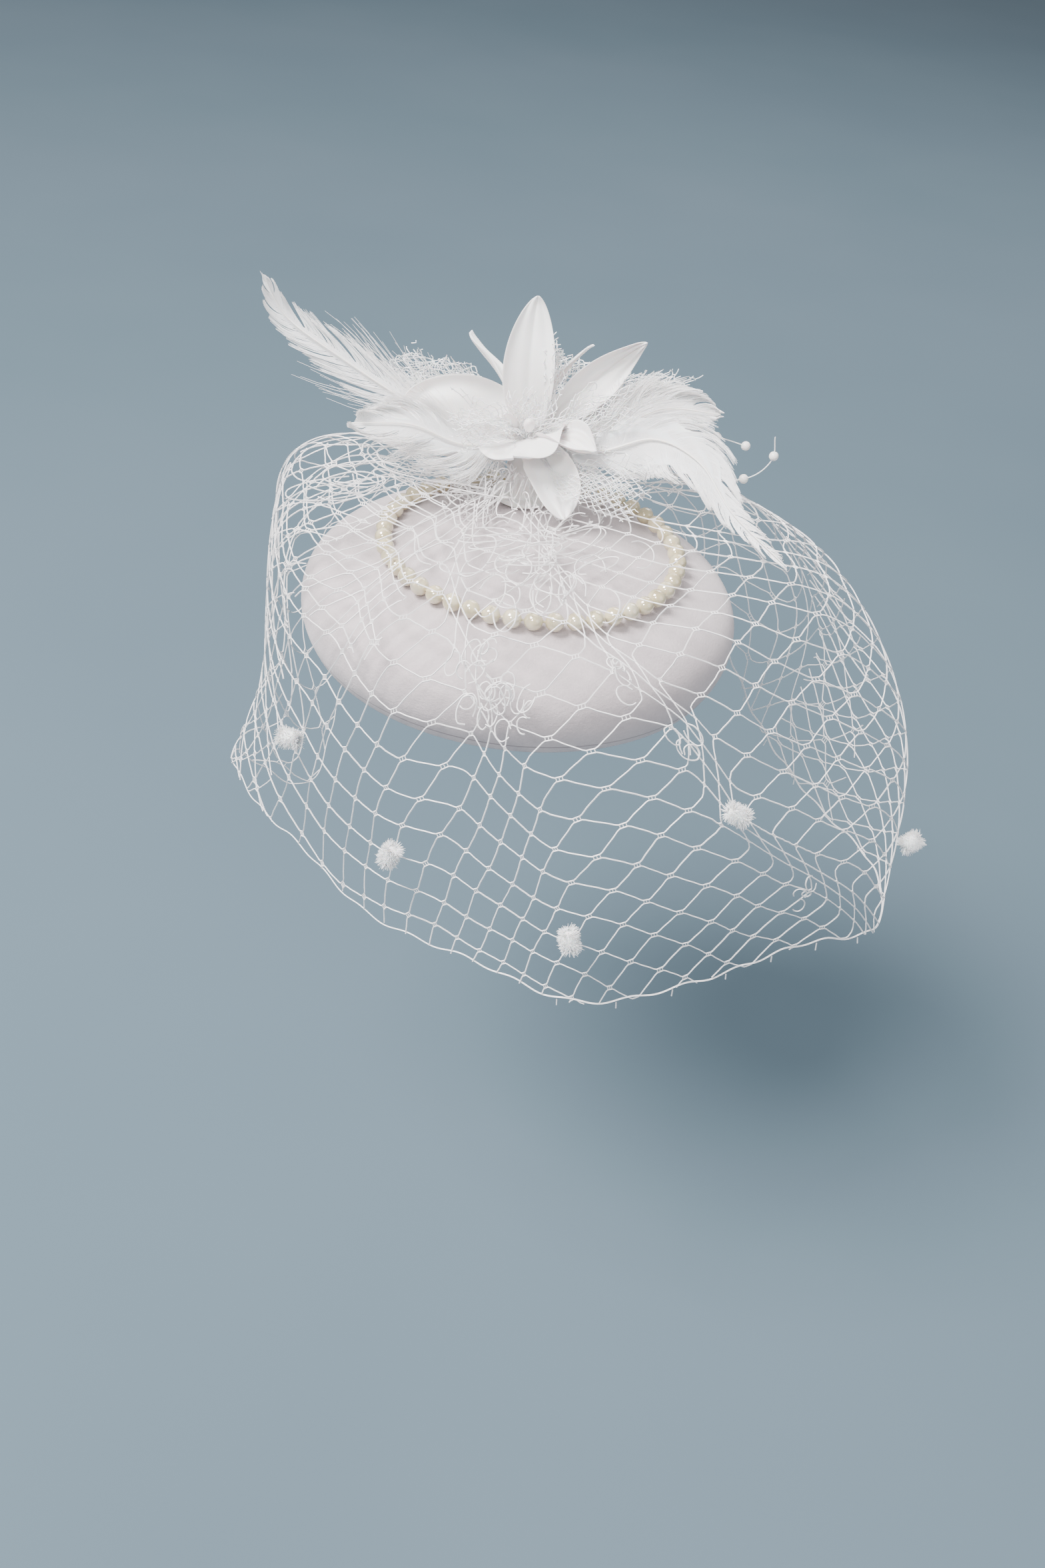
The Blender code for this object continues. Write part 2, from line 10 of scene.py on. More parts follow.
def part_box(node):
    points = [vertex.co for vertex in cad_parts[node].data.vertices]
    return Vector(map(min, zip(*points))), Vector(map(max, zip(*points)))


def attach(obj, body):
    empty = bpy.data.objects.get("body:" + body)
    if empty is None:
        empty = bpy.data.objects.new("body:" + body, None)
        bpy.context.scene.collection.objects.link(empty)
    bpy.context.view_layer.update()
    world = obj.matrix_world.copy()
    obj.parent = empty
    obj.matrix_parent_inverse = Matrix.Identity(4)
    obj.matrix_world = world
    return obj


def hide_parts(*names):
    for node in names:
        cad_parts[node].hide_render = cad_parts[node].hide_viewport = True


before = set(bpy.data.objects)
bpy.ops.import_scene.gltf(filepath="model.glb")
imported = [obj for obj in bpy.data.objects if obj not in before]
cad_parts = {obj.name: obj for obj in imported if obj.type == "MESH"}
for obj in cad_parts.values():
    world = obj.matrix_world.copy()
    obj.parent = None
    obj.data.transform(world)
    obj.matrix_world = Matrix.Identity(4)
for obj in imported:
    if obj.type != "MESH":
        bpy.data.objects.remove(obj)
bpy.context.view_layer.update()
bpy.ops.object.select_all(action="DESELECT")
chance = np.random.default_rng(7)

# Camera: distance from the middle of the rim, and the turns of its aim in degrees
CAMERA_DISTANCE = 0.6992
CAMERA_RISE = 31.22
CAMERA_PITCH = 4.82
CAMERA_YAW = 0.82
CAMERA_ROLL = 6.85
LENS_MM = 40.0
SENSOR_MM = 36.0
PICTURE_SIZE = (1568, 2352)

# Studio
FLOOR_DROP = 0.25
FLOOR_SIZE = 6.0

# Felt crown, as in the solids
RIM_RADIUS = 0.0809
BELLY_HEIGHT = 0.013
CROWN_FULLNESS = 2.65
FELT = 0.0025
# Height and width of a thin band painted darker round the felt above the rim: painted shade of a pressed
# crease
RIM_CREASE_SHADE_HEIGHT = 0.0040
RIM_CREASE_SHADE_WIDTH = 0.0007
CAP_RINGS = 34
SKIRT_RINGS = 8
CROWN_STEPS = 180

# Pearl ring
RING_RADIUS = 0.057
RING_X = 0.002
PEARL_RADIUS = 0.0035
PEARLS = 46
THREAD_RADIUS = 0.0005

# Net veil: its surface is the same as the solids' one
VEIL_DROP = 0.088
GATHER_REACH = 0.0275
GATHER_TOP = 0.0098
GATHER_EDGE = 0.0053
STATION_SHARES = (0.0, 0.08, 0.33, 0.48, 0.74, 1.0)
STEM_X = -0.004
STEM_Y = 0.040
STEM_RADIUS = 0.0075
GATHER_START = 0.0090

# The net: width and half height of a cell, the run of a knot, the gap between its rails, the radii of a
# strand, of a knot's bar and of the hem's strand, and the length of a cut end at the hem
CELL_WIDTH = 0.0225
ROW_STEP = 0.0078
KNOT_RUN = 0.0013
KNOT_GAP = 0.0015
STRAND = 0.00027
BAR = 0.00020
HEM_STRAND = 0.00040
HEM_TAIL = 0.0026

# Laying the net: how far off a place may be found, how far in the picture's pixels a row of NET_WAYS
# reaches, and the most steps that a fit takes
NET_MISS = 0.0007
WAY_REACH = 60.0
FIT_STEPS = 2500

# The ruffles round the stem: the ways that they lie in degrees, and how many of them lie at the front
GATHER_WAYS = (-165, -140, -118, -98, -80, -62, -45, -25, 0, 30, 150, 175)
FRONT_WAYS = 9

# Faces that meet at less than these angles in degrees are shaded as one
SMOOTH_ANGLE = 60.0
FELT_ANGLE = 50.0

# Spray: the height of its head's middle above the crown, then the sizes of its parts
HEAD_HEIGHT = 0.025994
HEAD_RADIUS = 0.0095
SPREAD = 0.100
PETAL_WIDTH = 0.018
FEATHER_WIDTH = 0.030
TUFT_WIDTH = 0.030
TUFT_CELL = 0.0028
TUFT_STEP = 0.0021
SEED_RADIUS = 0.0019
STAMEN_RADIUS = 0.0026
STAMEN_LENGTH = 0.0115
PETAL_CLOTH = 0.0005
FEATHER_WEB = 0.0003
QUILL_RADII = (0.00058, 0.00020)
BARB_RADII = (0.00014, 0.00005)
TUFT_THREAD = 0.00019
WIRE_RADIUS = 0.00024
WIRE_KNOT = 0.00042
DOT_FIBRES = 900
STRAY_BARBS = 90

# Petals: the way out of the head and the tip as shares of SPREAD from the head's middle, the side
# that the petal faces, its width as a share of PETAL_WIDTH, and how deep it is cupped in widths. Then
# how far its edges wave, how far they curl over and from which side outwards, how far the tip bends
# back, how deep its middle crease is, how blunt its tip is from 0 to 1, and how deep its pleats are
PETALS = {
    "petal_upright": (((-0.03, 0.00, 0.27), (-0.028, 0.12, 0.53)), (0.0, -1.0, 0.2), 1.155, 0.10,
                      0.0006, 0.0010, 0.70, 0.0022, 0.0005, 0.20, 0.00003),
    "petal_right": (((0.20, 0.08, 0.20), (0.41, 0.20, 0.37)), (0.3, -1.0, 0.3), 0.92, 0.12,
                    0.0012, 0.0020, 0.50, 0.0018, 0.0016, 0.05, 0.00003),
    "petal_edge": (((-0.14, 0.11, 0.20), (-0.29, 0.20, 0.31)), (1.0, -0.3, 0.3), 0.375, 0.20,
                   0.0006, 0.0006, 0.50, 0.0012, 0.0008, 0.0, 0.00003),
    "petal_spike": (((0.06, 0.12, 0.18), (0.20, 0.16, 0.36)), (0.8, -0.6, 0.0), 0.24, 0.20,
                    0.0004, 0.0004, 0.60, 0.0010, 0.0003, 0.0, 0.00003),
    "petal_left": (((-0.25, 0.02, 0.035), (-0.52, 0.04, 0.045)), (0.0, -1.0, 0.6), 1.98, 0.12,
                   0.0022, 0.0020, 0.70, -0.0030, 0.0003, 0.60, 0.00003),
    "petal_front": (((-0.02, -0.14, 0.04), (-0.04, -0.26, 0.01)), (-0.42, -0.4, 1.0), 2.125, 0.05,
                    0.0014, 0.0014, 0.70, 0.0012, 0.0, 1.0, 0.00008),
    "petal_curled": (((0.15, -0.17, 0.09), (0.27, -0.25, 0.07)), (0.0, -0.5, 1.0), 0.765, 0.15,
                     0.0016, 0.0030, 0.30, 0.0020, 0.0014, 0.0, 0.00050),
    "petal_hanging": (((0.12, -0.19, -0.07), (0.175, -0.28, -0.20)), (0.1, -1.0, 0.3), 1.088, 0.12,
                      0.0016, 0.0026, 0.50, 0.0020, 0.0010, 0.20, 0.00003),
}

# Feathers: the same five columns, with a path of more points and FEATHER_WIDTH. Then the barbs on a
# side, the locks on a side, the angle that the barbs leave the quill at, the share of the width that
# the close web takes, how wild the barbs are, and the share of the width that is gone near the tip
FEATHERS = {
    "feather_hackle": (((-0.20, 0.10, -0.12), (-0.49, 0.10, 0.04), (-0.77, 0.15, 0.17), (-1.00, 0.20, 0.29),
                        (-1.10, 0.20, 0.45)), (0.0, -1.0, 0.3), 0.6732, 0.05,
                       420, 34, 26.0, 0.16, 0.8, 0.0),
    "feather_left": (((-0.24, -0.10, -0.02), (-0.46, -0.13, 0.05), (-0.69, -0.16, 0.04)),
                     (0.0, -0.75, 0.66), 1.029, 0.10, 640, 18, 40.0, 0.22, 1.9, 0.0),
    "feather_sweep": (((0.26, -0.10, 0.02), (0.48, -0.10, 0.10), (0.66, -0.22, 0.08), (0.80, -0.42, -0.02),
                       (1.00, -0.70, -0.07)), (0.3, -1.0, 0.7), 1.207, 0.08,
                      760, 40, 34.0, 0.50, 0.6, 0.52),
    "feather_right": (((0.34, 0.08, 0.06), (0.52, 0.09, 0.15), (0.74, 0.08, 0.16)),
                      (0.0, -1.0, 0.5), 1.058, 0.08, 660, 26, 40.0, 0.20, 2.0, 0.0),
}

# Tufts of crinkled net: the same five columns with TUFT_WIDTH. Then the turns of the layers in degrees,
# how far they reach, how crinkled they are and how long their cells are against TUFT_CELL
TUFTS = {
    "tuft_left": (((-0.20, 0.20, 0.02), (-0.32, 0.24, 0.10), (-0.45, 0.24, 0.17)),
                  (0.0, -1.0, 0.3), 0.8925, 0.10, (0, 8, 20, 4, 26), 1.16, 0.8, 1.25),
    "tuft_top": (((0.00, 0.20, 0.14), (0.03, 0.25, 0.24), (0.07, 0.26, 0.35)),
                 (0.0, -1.0, 0.3), 0.68, 0.10, (0, -14, -26, -34), 1.00, 0.7, 1.35),
    "tuft_right": (((0.20, 0.18, 0.04), (0.38, 0.25, 0.10), (0.58, 0.24, 0.14)),
                   (0.0, -1.0, 0.3), 0.81, 0.10, (4, -4, -12, 8, 0), 1.06, 1.0, 1.0),
    "tuft_front": (((0.13, -0.18, -0.08), (0.26, -0.25, -0.055), (0.40, -0.29, -0.05)),
                   (-0.2, -1.0, 0.8), 0.63, 0.10, (10, 2, -4), 1.10, 0.35, 1.30),
}

# Small patches of the same net that lie over the petals, with the columns of TUFTS
PATCHES = {
    "glint_left": (((-0.12, -0.15, 0.10), (-0.28, -0.15, 0.09)),
                   (0.0, -1.0, 0.8), 0.50, 0.10, (0, 10, -10), 1.05, 1.0, 1.0),
    "glint_middle": (((-0.01, -0.09, 0.08), (0.03, -0.10, 0.20)),
                     (0.0, -1.0, 0.6), 0.50, 0.10, (0, 25, -25, 10), 1.05, 1.0, 1.0),
    "glint_right": (((0.14, -0.10, 0.08), (0.34, -0.02, 0.17)),
                    (0.0, -1.0, 0.4), 0.60, 0.10, (0, 14, -14), 1.05, 1.0, 1.0),
    "glint_upright": (((0.06, -0.06, 0.12), (0.065, -0.02, 0.24), (0.06, 0.02, 0.36)),
                      (0.2, -1.0, 0.2), 0.30, 0.10, (0, -5), 1.05, 0.8, 1.0),
}

# Where the net of a tuft is cut off above, as shares of SPREAD from the head's middle: across, up
TUFT_TOPS = {
    "tuft_left": ((-0.60, 0.15), (-0.525, 0.22), (-0.50, 0.235), (-0.47, 0.20), (-0.43, 0.165),
                  (-0.36, 0.182), (-0.21, 0.192), (0.00, 0.20)),
    "tuft_top": ((-0.05, 0.40), (0.045, 0.375), (0.065, 0.33), (0.09, 0.27), (0.145, 0.245), (0.195, 0.25),
                 (0.215, 0.235), (0.24, 0.18)),
    "tuft_right": ((0.20, 0.16), (0.40, 0.205), (0.52, 0.225), (0.62, 0.245), (0.80, 0.24)),
}

# Bead sprays: the wire's path as shares of SPREAD, and the places along it where a bead is threaded
SPRAYS = {
    "bead_spray_upper": (((0.20, 0.14, -0.06), (0.40, 0.17, 0.00), (0.62, 0.16, 0.04), (0.76, 0.13, 0.04),
                          (0.88, 0.12, 0.02)), (0.78, 0.985)),
    "bead_spray_lower": (((0.22, 0.04, -0.14), (0.45, 0.05, -0.16), (0.68, 0.02, -0.11), (0.88, 0.00, -0.06),
                          (0.965, 0.00, 0.03), (0.96, 0.00, 0.13)), (0.655, 0.865)),
}

# The buds and the dots: the way that each one's axis points
STAMENS = {
    "stamen_left": (-0.48, -0.58, 0.66),
    "stamen_right": (-0.02, -0.75, 0.66),
}
DOT_WAYS = ((0.9, -0.3, 0.1), (0.3, -0.1, 0.9), (0.25, -0.2, -0.9), (0.8, 0.1, -0.4), (0.8, 0.3, 0.5))

# Veil sections round the stem, from its left end at the back, past the front, to its right end.
# Places of the hem are shares of the crown's belly radius. A station lies at a share of the way out
# from the stem to the hem. Heights are shares of the crown's height above the rim's plane, and of
# VEIL_DROP below it.
#   hem_x  hem_y  hem_up | crest out, up | shoulder out, up | side out, up
VEIL_SECTIONS = (
    (-0.56, 1.01, 0.25, 0.50, 1.22, 0.85, 1.07, 0.97, 0.73),
    (-0.84, 0.66, -0.70, 1.00, 1.29, 1.40, 0.68, 1.32, -0.32),
    (-0.97, 0.28, -1.18, 0.87, 1.51, 1.20, 1.07, 1.14, -0.45),
    (-1.31, -0.02, -0.83, 0.66, 1.41, 0.87, 0.90, 0.90, -0.36),
    (-1.14, -0.39, -0.84, 0.62, 1.22, 0.89, 0.80, 0.94, -0.36),
    (-0.87, -0.70, -0.83, 0.64, 1.16, 0.93, 0.76, 1.00, -0.17),
    (-0.50, -1.04, -0.90, 0.66, 1.14, 0.92, 0.78, 1.00, -0.17),
    (-0.02, -1.25, -0.91, 0.66, 1.13, 0.87, 0.80, 0.98, -0.22),
    (0.47, -1.37, -0.97, 0.62, 1.13, 0.82, 0.85, 0.97, -0.22),
    (0.98, -1.21, -0.92, 0.58, 1.16, 0.80, 0.93, 0.97, -0.20),
    (1.46, -0.90, -0.90, 0.54, 1.22, 0.78, 0.98, 0.97, -0.20),
    (1.87, -0.59, -0.99, 0.50, 1.30, 0.74, 1.10, 0.95, -0.12),
    (1.90, -0.12, -0.98, 0.50, 1.37, 0.74, 1.15, 0.96, -0.08),
    (1.60, 0.32, -0.92, 0.55, 1.39, 0.83, 0.96, 1.03, -0.17),
    (1.31, 0.73, -0.75, 0.62, 1.22, 0.92, 0.73, 1.12, -0.17),
    (0.96, 0.98, -0.23, 0.60, 1.22, 0.95, 0.83, 1.10, 0.20),
    (0.61, 1.03, 0.30, 0.50, 1.22, 0.85, 1.07, 0.97, 0.73),
)

# How far up the net, from its lowest thread, the hem lies at places across the veil, in metres
HEM_OFFSETS = (
    (0.00, 0.112), (0.27, 0.112), (0.33, 0.102), (0.38, 0.078), (0.43, 0.045), (0.48, 0.018), (0.54, 0.004),
    (0.60, 0.000), (1.00, 0.000),
)

# The way that the net's rows run in the picture: a place in its pixels, and the degrees that a row
# rises to the right there
NET_WAYS = (
    (330, 900, -45), (430, 700, -30), (420, 780, -30), (480, 1000, -5), (540, 820, 0), (600, 1000, 0),
    (640, 860, 0), (700, 1250, 20), (820, 1350, 18),
    (1000, 1000, 13), (1250, 1000, 13), (1030, 800, 0), (950, 760, 0), (1080, 900, 6),
    (1400, 1100, 13), (1200, 1350, 14),
)

# Sheets that the net is drawn in: from and to across the veil, whether the rows follow NET_WAYS or just
# the hem, and the share of the way down that they reach
NET_SHEETS = (
    (0.0, 0.27, False, 1.0), (0.20, 0.86, True, 1.0), (0.79, 1.0, False, 1.0), (0.12, 0.36, True, 0.52),
)

# Folds: where each lies across the veil and its half width in metres, once or at the levels of
# FOLD_LEVELS, then the net that it takes up and how far it stands out, in metres
FOLD_LEVELS = (0.1, 0.4, 0.55, 0.7, 1.0)
FOLDS = (
    (0.10, (0.010, 0.012, 0.016, 0.020, 0.024), 0.018, 0.003),
    (0.21, (0.010, 0.012, 0.016, 0.020, 0.024), 0.016, 0.003),
    ((0.31, 0.34, 0.35, 0.35, 0.35), (0.006, 0.010, 0.016, 0.030, 0.060), 0.020, 0.003),
    ((0.345, 0.405, 0.433, 0.445, 0.46), (0.005, 0.006, 0.008, 0.020, 0.050), 0.034, 0.003),
    ((0.47, 0.505, 0.549, 0.571, 0.68), (0.006, 0.0065, 0.007, 0.008, 0.012), 0.046, 0.0025),
    ((0.66, 0.70, 0.71, 0.72, 0.73), (0.006, 0.010, 0.020, 0.040, 0.060), 0.020, 0.003),
    (0.88, (0.008, 0.008, 0.010, 0.012, 0.014), 0.034, 0.003),
    (0.95, (0.008, 0.008, 0.010, 0.012, 0.014), 0.030, 0.003),
)

# Loose loops of net: a place in the picture's pixels, how many, their length and width, the way that
# they lie in degrees, how far they scatter and how far they stand out
LOOPS = (
    (720, 1020, 14, 0.009, 0.006, 60, 0.014, 0.003),
    (750, 1060, 12, 0.008, 0.005, 95, 0.012, 0.003),
    (800, 840, 12, 0.026, 0.012, 75, 0.026, 0.005),
    (730, 830, 8, 0.026, 0.011, 40, 0.024, 0.005),
    (790, 910, 7, 0.024, 0.010, 80, 0.020, 0.004),
    (520, 720, 5, 0.030, 0.011, 20, 0.010, 0.004),
    (600, 700, 6, 0.036, 0.014, 5, 0.014, 0.008),
    (700, 730, 8, 0.030, 0.012, 0, 0.012, 0.008),
    (880, 820, 8, 0.026, 0.010, 60, 0.018, 0.005),
    (930, 1010, 5, 0.008, 0.005, -50, 0.008, 0.003),
    (1020, 1120, 5, 0.009, 0.005, -50, 0.008, 0.003),
    (1190, 1345, 4, 0.008, 0.005, -50, 0.008, 0.003),
)

low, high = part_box("crown")
BELLY_RADIUS = (high[0] - low[0]) / 2
CROWN_HEIGHT = high[2]

# Shares of the way across the veil and down it where its surface is worked out, and the camera's focal
# length in the picture's pixels
ACROSS = np.linspace(0, 1, 401)
DOWN = np.linspace(0, 1, 97)
FOCAL_PIXELS = LENS_MM / SENSOR_MM * PICTURE_SIZE[1]


def spline(points, shares):
    """Places on the smooth curve through all the points, which are spread evenly from 0 to 1."""
    points = np.asarray(points, float)
    last = len(points) - 1
    at = np.clip(shares, 0.0, 1.0) * last
    i = np.minimum(at.astype(int), last - 1)
    t = (at - i)[:, None]
    row = np.concatenate([[2 * points[0] - points[1]], points, [2 * points[-1] - points[-2]]])
    p0, p1, p2, p3 = row[i], row[i + 1], row[i + 2], row[i + 3]
    return 0.5 * (2 * p1 + (p2 - p0) * t + (2 * p0 - 5 * p1 + 4 * p2 - p3) * t ** 2
                  + (3 * p1 - p0 - 3 * p2 + p3) * t ** 3)


def smoothstep(x):
    x = np.clip(x, 0.0, 1.0)
    return x * x * (3 - 2 * x)


def unit(vectors):
    return vectors / np.maximum(np.linalg.norm(vectors, axis=-1, keepdims=True), 1e-12)


def running_length(points, axis=0):
    steps = np.linalg.norm(np.diff(points, axis=axis), axis=-1)
    start = np.zeros_like(np.take(steps, [0], axis=axis))
    return np.concatenate([start, np.cumsum(steps, axis=axis)], axis=axis)


def placed(name, data):
    """A new object in the scene that holds the data."""
    thing = bpy.data.objects.new(name, data)
    bpy.context.scene.collection.objects.link(thing)
    return thing


# Studio

def add_camera():
    rise = math.radians(CAMERA_RISE)
    back = Vector((0.0, -math.cos(rise), math.sin(rise)))
    ahead = -back
    right = ahead.cross(Vector((0.0, 0.0, 1.0))).normalized()
    up = right.cross(ahead)
    pitch, yaw, roll = (math.radians(a) for a in (CAMERA_PITCH, CAMERA_YAW, CAMERA_ROLL))
    ahead = ahead * math.cos(pitch) - up * math.sin(pitch)
    up = right.cross(ahead)
    ahead = ahead * math.cos(yaw) + right * math.sin(yaw)
    right = ahead.cross(up)
    aside = right * math.cos(roll) + up * math.sin(roll)
    up = up * math.cos(roll) - right * math.sin(roll)
    data = bpy.data.cameras.new("camera")
    data.lens = LENS_MM
    data.sensor_width = SENSOR_MM
    data.sensor_fit = "AUTO"
    data.clip_start = 0.01
    camera = placed("camera", data)
    turn = Matrix((aside, up, -ahead)).transposed().to_4x4()
    camera.matrix_world = Matrix.Translation(back * CAMERA_DISTANCE) @ turn
    bpy.context.scene.camera = camera


def camera_view():
    """The camera's matrix: its ways across, up and back in the first columns, its place in the last."""
    return np.array(bpy.context.scene.camera.matrix_world)


def add_light(name, place, size, power, colour):
    data = bpy.data.lights.new(name, "AREA")
    data.shape = "DISK"
    data.size = size
    data.energy = power
    data.color = colour
    light = placed(name, data)
    light.location = place
    light.rotation_euler = (-Vector(place)).to_track_quat("-Z", "Y").to_euler()


def add_studio():
    add_camera()
    add_light("window", (-1.05, -0.45, 1.8), 0.9, 132.0, (1.0, 0.955, 0.94))
    add_light("fill", (1.6, -0.9, 0.8), 1.6, 10.0, (0.97, 0.96, 1.0))
    add_light("back", (0.5, 1.5, 1.3), 1.2, 24.0, (1.0, 0.98, 0.98))
    add_light("front", (-0.5, -1.4, 1.2), 0.4, 22.0, (1.0, 0.97, 0.95))
    world = bpy.data.worlds.new("soft_room")
    world.use_nodes = True
    room = world.node_tree.nodes["Background"].inputs
    room["Color"].default_value = (0.90, 0.88, 0.90, 1.0)
    room["Strength"].default_value = 0.64
    bpy.context.scene.world = world
    bpy.ops.mesh.primitive_plane_add(size=FLOOR_SIZE, location=(0.0, 0.0, -FLOOR_DROP))
    floor = bpy.context.object
    floor.name = "floor"
    floor.data.materials.append(floor_material())


# Materials

class Nodes:
    """Short calls for the nodes of one material."""

    def __init__(self, name):
        self.material = bpy.data.materials.new(name)
        self.material.use_nodes = True
        self.tree = self.material.node_tree
        self.shader = self.tree.nodes["Principled BSDF"]
        self.place = self.add("TexCoord").outputs["Object"]

    def put(self, value, socket):
        """Links an output to a socket, or sets the socket to a value."""
        if isinstance(value, bpy.types.NodeSocket):
            self.tree.links.new(value, socket)
        else:
            socket.default_value = value

    def add(self, kind, **values):
        node = self.tree.nodes.new("ShaderNode" + kind)
        for name, value in values.items():
            self.put(value, node.inputs[name])
        return node

    def set(self, **values):
        for name, value in values.items():
            self.put(value, self.shader.inputs[name.replace("_", " ")])

    def noise(self, scale, detail=3.0, rough=0.55, stretch=None):
        place = self.place
        if stretch:
            place = self.add("Mapping", Vector=place, Scale=stretch).outputs["Vector"]
        return self.add("TexNoise", Vector=place, Scale=scale, Detail=detail, Roughness=rough).outputs["Fac"]

    def math(self, operation, *values):
        node = self.add("Math")
        node.operation = operation
        for socket, value in zip(node.inputs, values):
            self.put(value, socket)
        return node.outputs[0]

    def paint(self, fac, *stops):
        """The colour, from two or more stops of a place and its colour."""
        node = self.add("ValToRGB", Fac=fac)
        elements = node.color_ramp.elements
        for element, (place, colour) in zip(elements, (stops[0], stops[-1])):
            element.position = place
            element.color = (*colour, 1.0)
        for place, colour in stops[1:-1]:
            elements.new(place).color = (*colour, 1.0)
        self.set(Base_Color=node.outputs["Color"])

    def bump(self, height, distance, strength):
        node = self.add("Bump", Height=height, Distance=distance, Strength=strength)
        self.set(Normal=node.outputs["Normal"])


def floor_material():
    n = Nodes("pale_floor")
    n.set(Roughness=0.9, Specular_IOR_Level=0.2)
    n.paint(n.noise(2.0), (0.3, (0.088, 0.133, 0.166)), (0.7, (0.100, 0.146, 0.180)))
    return n.material


def felt_material():
    """Matted wool: slightly mottled, with short fibres that catch the light at grazing angles."""
    n = Nodes("wool_felt")
    n.set(Roughness=0.92, Specular_IOR_Level=0.25, Sheen_Weight=0.35, Sheen_Roughness=0.6)
    coarse = n.math("MULTIPLY", n.noise(60.0, 4.0), 0.6)
    fine = n.math("MULTIPLY", n.noise(900.0, 3.0), 0.4)
    height = n.add("SeparateXYZ", Vector=n.place).outputs["Z"]
    # A thin band round the felt above the rim is painted darker: painted shade of the pressed crease there
    line = n.math("COMPARE", height, RIM_CREASE_SHADE_HEIGHT, RIM_CREASE_SHADE_WIDTH / 2)
    tone = n.math("SUBTRACT", n.math("ADD", coarse, fine), n.math("MULTIPLY", line, 0.5))
    n.paint(tone, (0.10, (0.300, 0.255, 0.270)), (0.30, (0.475, 0.420, 0.438)),
            (0.50, (0.530, 0.475, 0.490)), (0.70, (0.580, 0.525, 0.535)))
    lengthways = n.noise(1400.0, 4.0, 0.7, (1.0, 0.35, 1.0))
    crossways = n.noise(1100.0, 4.0, 0.7, (0.35, 1.0, 1.0))
    n.bump(n.math("ADD", n.math("ADD", lengthways, crossways), n.noise(250.0)), 0.0004, 0.5)
    return n.material


def pearl_material():
    """Ivory imitation pearl: a glossy coat over a milky body, a little uneven from bead to bead."""
    n = Nodes("ivory_pearl")
    n.set(Roughness=0.22, Coat_Weight=1.0, Coat_Roughness=0.05, Coat_IOR=2.3)
    n.set(Subsurface_Weight=0.1, Subsurface_Scale=0.002)
    n.paint(n.noise(110.0, 2.0), (0.35, (0.580, 0.505, 0.290)), (0.55, (0.660, 0.595, 0.390)),
            (0.75, (0.730, 0.675, 0.500)))
    n.bump(n.noise(700.0), 0.00005, 0.3)
    return n.material


def net_material():
    """Stiff nylon thread."""
    n = Nodes("net_thread")
    n.set(Roughness=0.45, Specular_IOR_Level=0.5, Sheen_Weight=0.2)
    n.paint(n.noise(80.0), (0.3, (0.82, 0.82, 0.83)), (0.7, (0.93, 0.93, 0.92)))
    n.bump(n.noise(2500.0), 0.0001, 0.4)
    return n.material


def cloth_material(name, light, dark, rough, scale, depth):
    n = Nodes(name)
    n.set(Roughness=rough, Sheen_Weight=0.3, Sheen_Roughness=0.5)
    n.set(Subsurface_Weight=0.2, Subsurface_Scale=0.003)
    n.paint(n.noise(scale / 12, 4.0), (0.3, dark), (0.7, light))
    n.bump(n.noise(scale, 4.0), depth, 0.6)
    return n.material


# Making pieces

def pick(*pieces):
    """Selects these pieces alone, the first one active."""
    bpy.ops.object.select_all(action="DESELECT")
    for piece in pieces:
        piece.select_set(True)
    bpy.context.view_layer.objects.active = pieces[0]


def finish_piece(piece, nodes, material, angle=SMOOTH_ANGLE):
    """Gives a piece its finish and its place in the frame."""
    piece.data.materials.clear()
    piece.data.materials.append(material)
    pick(piece)
    bpy.ops.object.shade_smooth_by_angle(angle=math.radians(angle))
    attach(piece, "root")
    if nodes:
        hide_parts(*nodes)


def strands(name, lines, radii, sides=4):
    """Thin tubes along lines of points, each line with a radius or one for each of its points."""
    curve = bpy.data.curves.new(name, "CURVE")
    curve.dimensions = "3D"
    curve.bevel_depth = 1.0
    curve.bevel_resolution = (sides - 4) // 2
    for line, radius in zip(lines, radii):
        thread = curve.splines.new("POLY")
        thread.points.add(len(line) - 1)
        flat = np.ones((len(line), 4))
        flat[:, :3] = line
        thread.points.foreach_set("co", flat.ravel())
        thread.points.foreach_set("radius", np.broadcast_to(radius, len(line)).astype(float))
    tube = placed(name, curve)
    pick(tube)
    bpy.ops.object.convert(target="MESH")
    return bpy.context.object


def join(name, pieces):
    pick(*pieces)
    bpy.ops.object.join()
    pieces[0].name = name
    pieces[0].data.name = name
    return pieces[0]


def get_points(piece):
    points = np.empty(len(piece.data.vertices) * 3)
    piece.data.vertices.foreach_get("co", points)
    return points.reshape(-1, 3)


def set_points(piece, points):
    piece.data.vertices.foreach_set("co", np.ascontiguousarray(points, float).ravel())
    piece.data.update()


def grid_piece(name, across, along):
    """A flat grid, as an object, with each point's place across it (-1 to 1) and along it (0 to 1)."""
    bpy.ops.mesh.primitive_grid_add(x_subdivisions=across, y_subdivisions=along, size=2.0)
    piece = bpy.context.object
    piece.name = name
    piece.data.name = name
    place = get_points(piece)
    return piece, place[:, 0].copy(), (place[:, 1] + 1) / 2


def ball(radius, segments, rings, spot=(0.0, 0.0, 0.0)):
    bpy.ops.mesh.primitive_uv_sphere_add(segments=segments, ring_count=rings, radius=radius)
    bpy.context.object.data.transform(Matrix.Translation(spot))
    return bpy.context.object


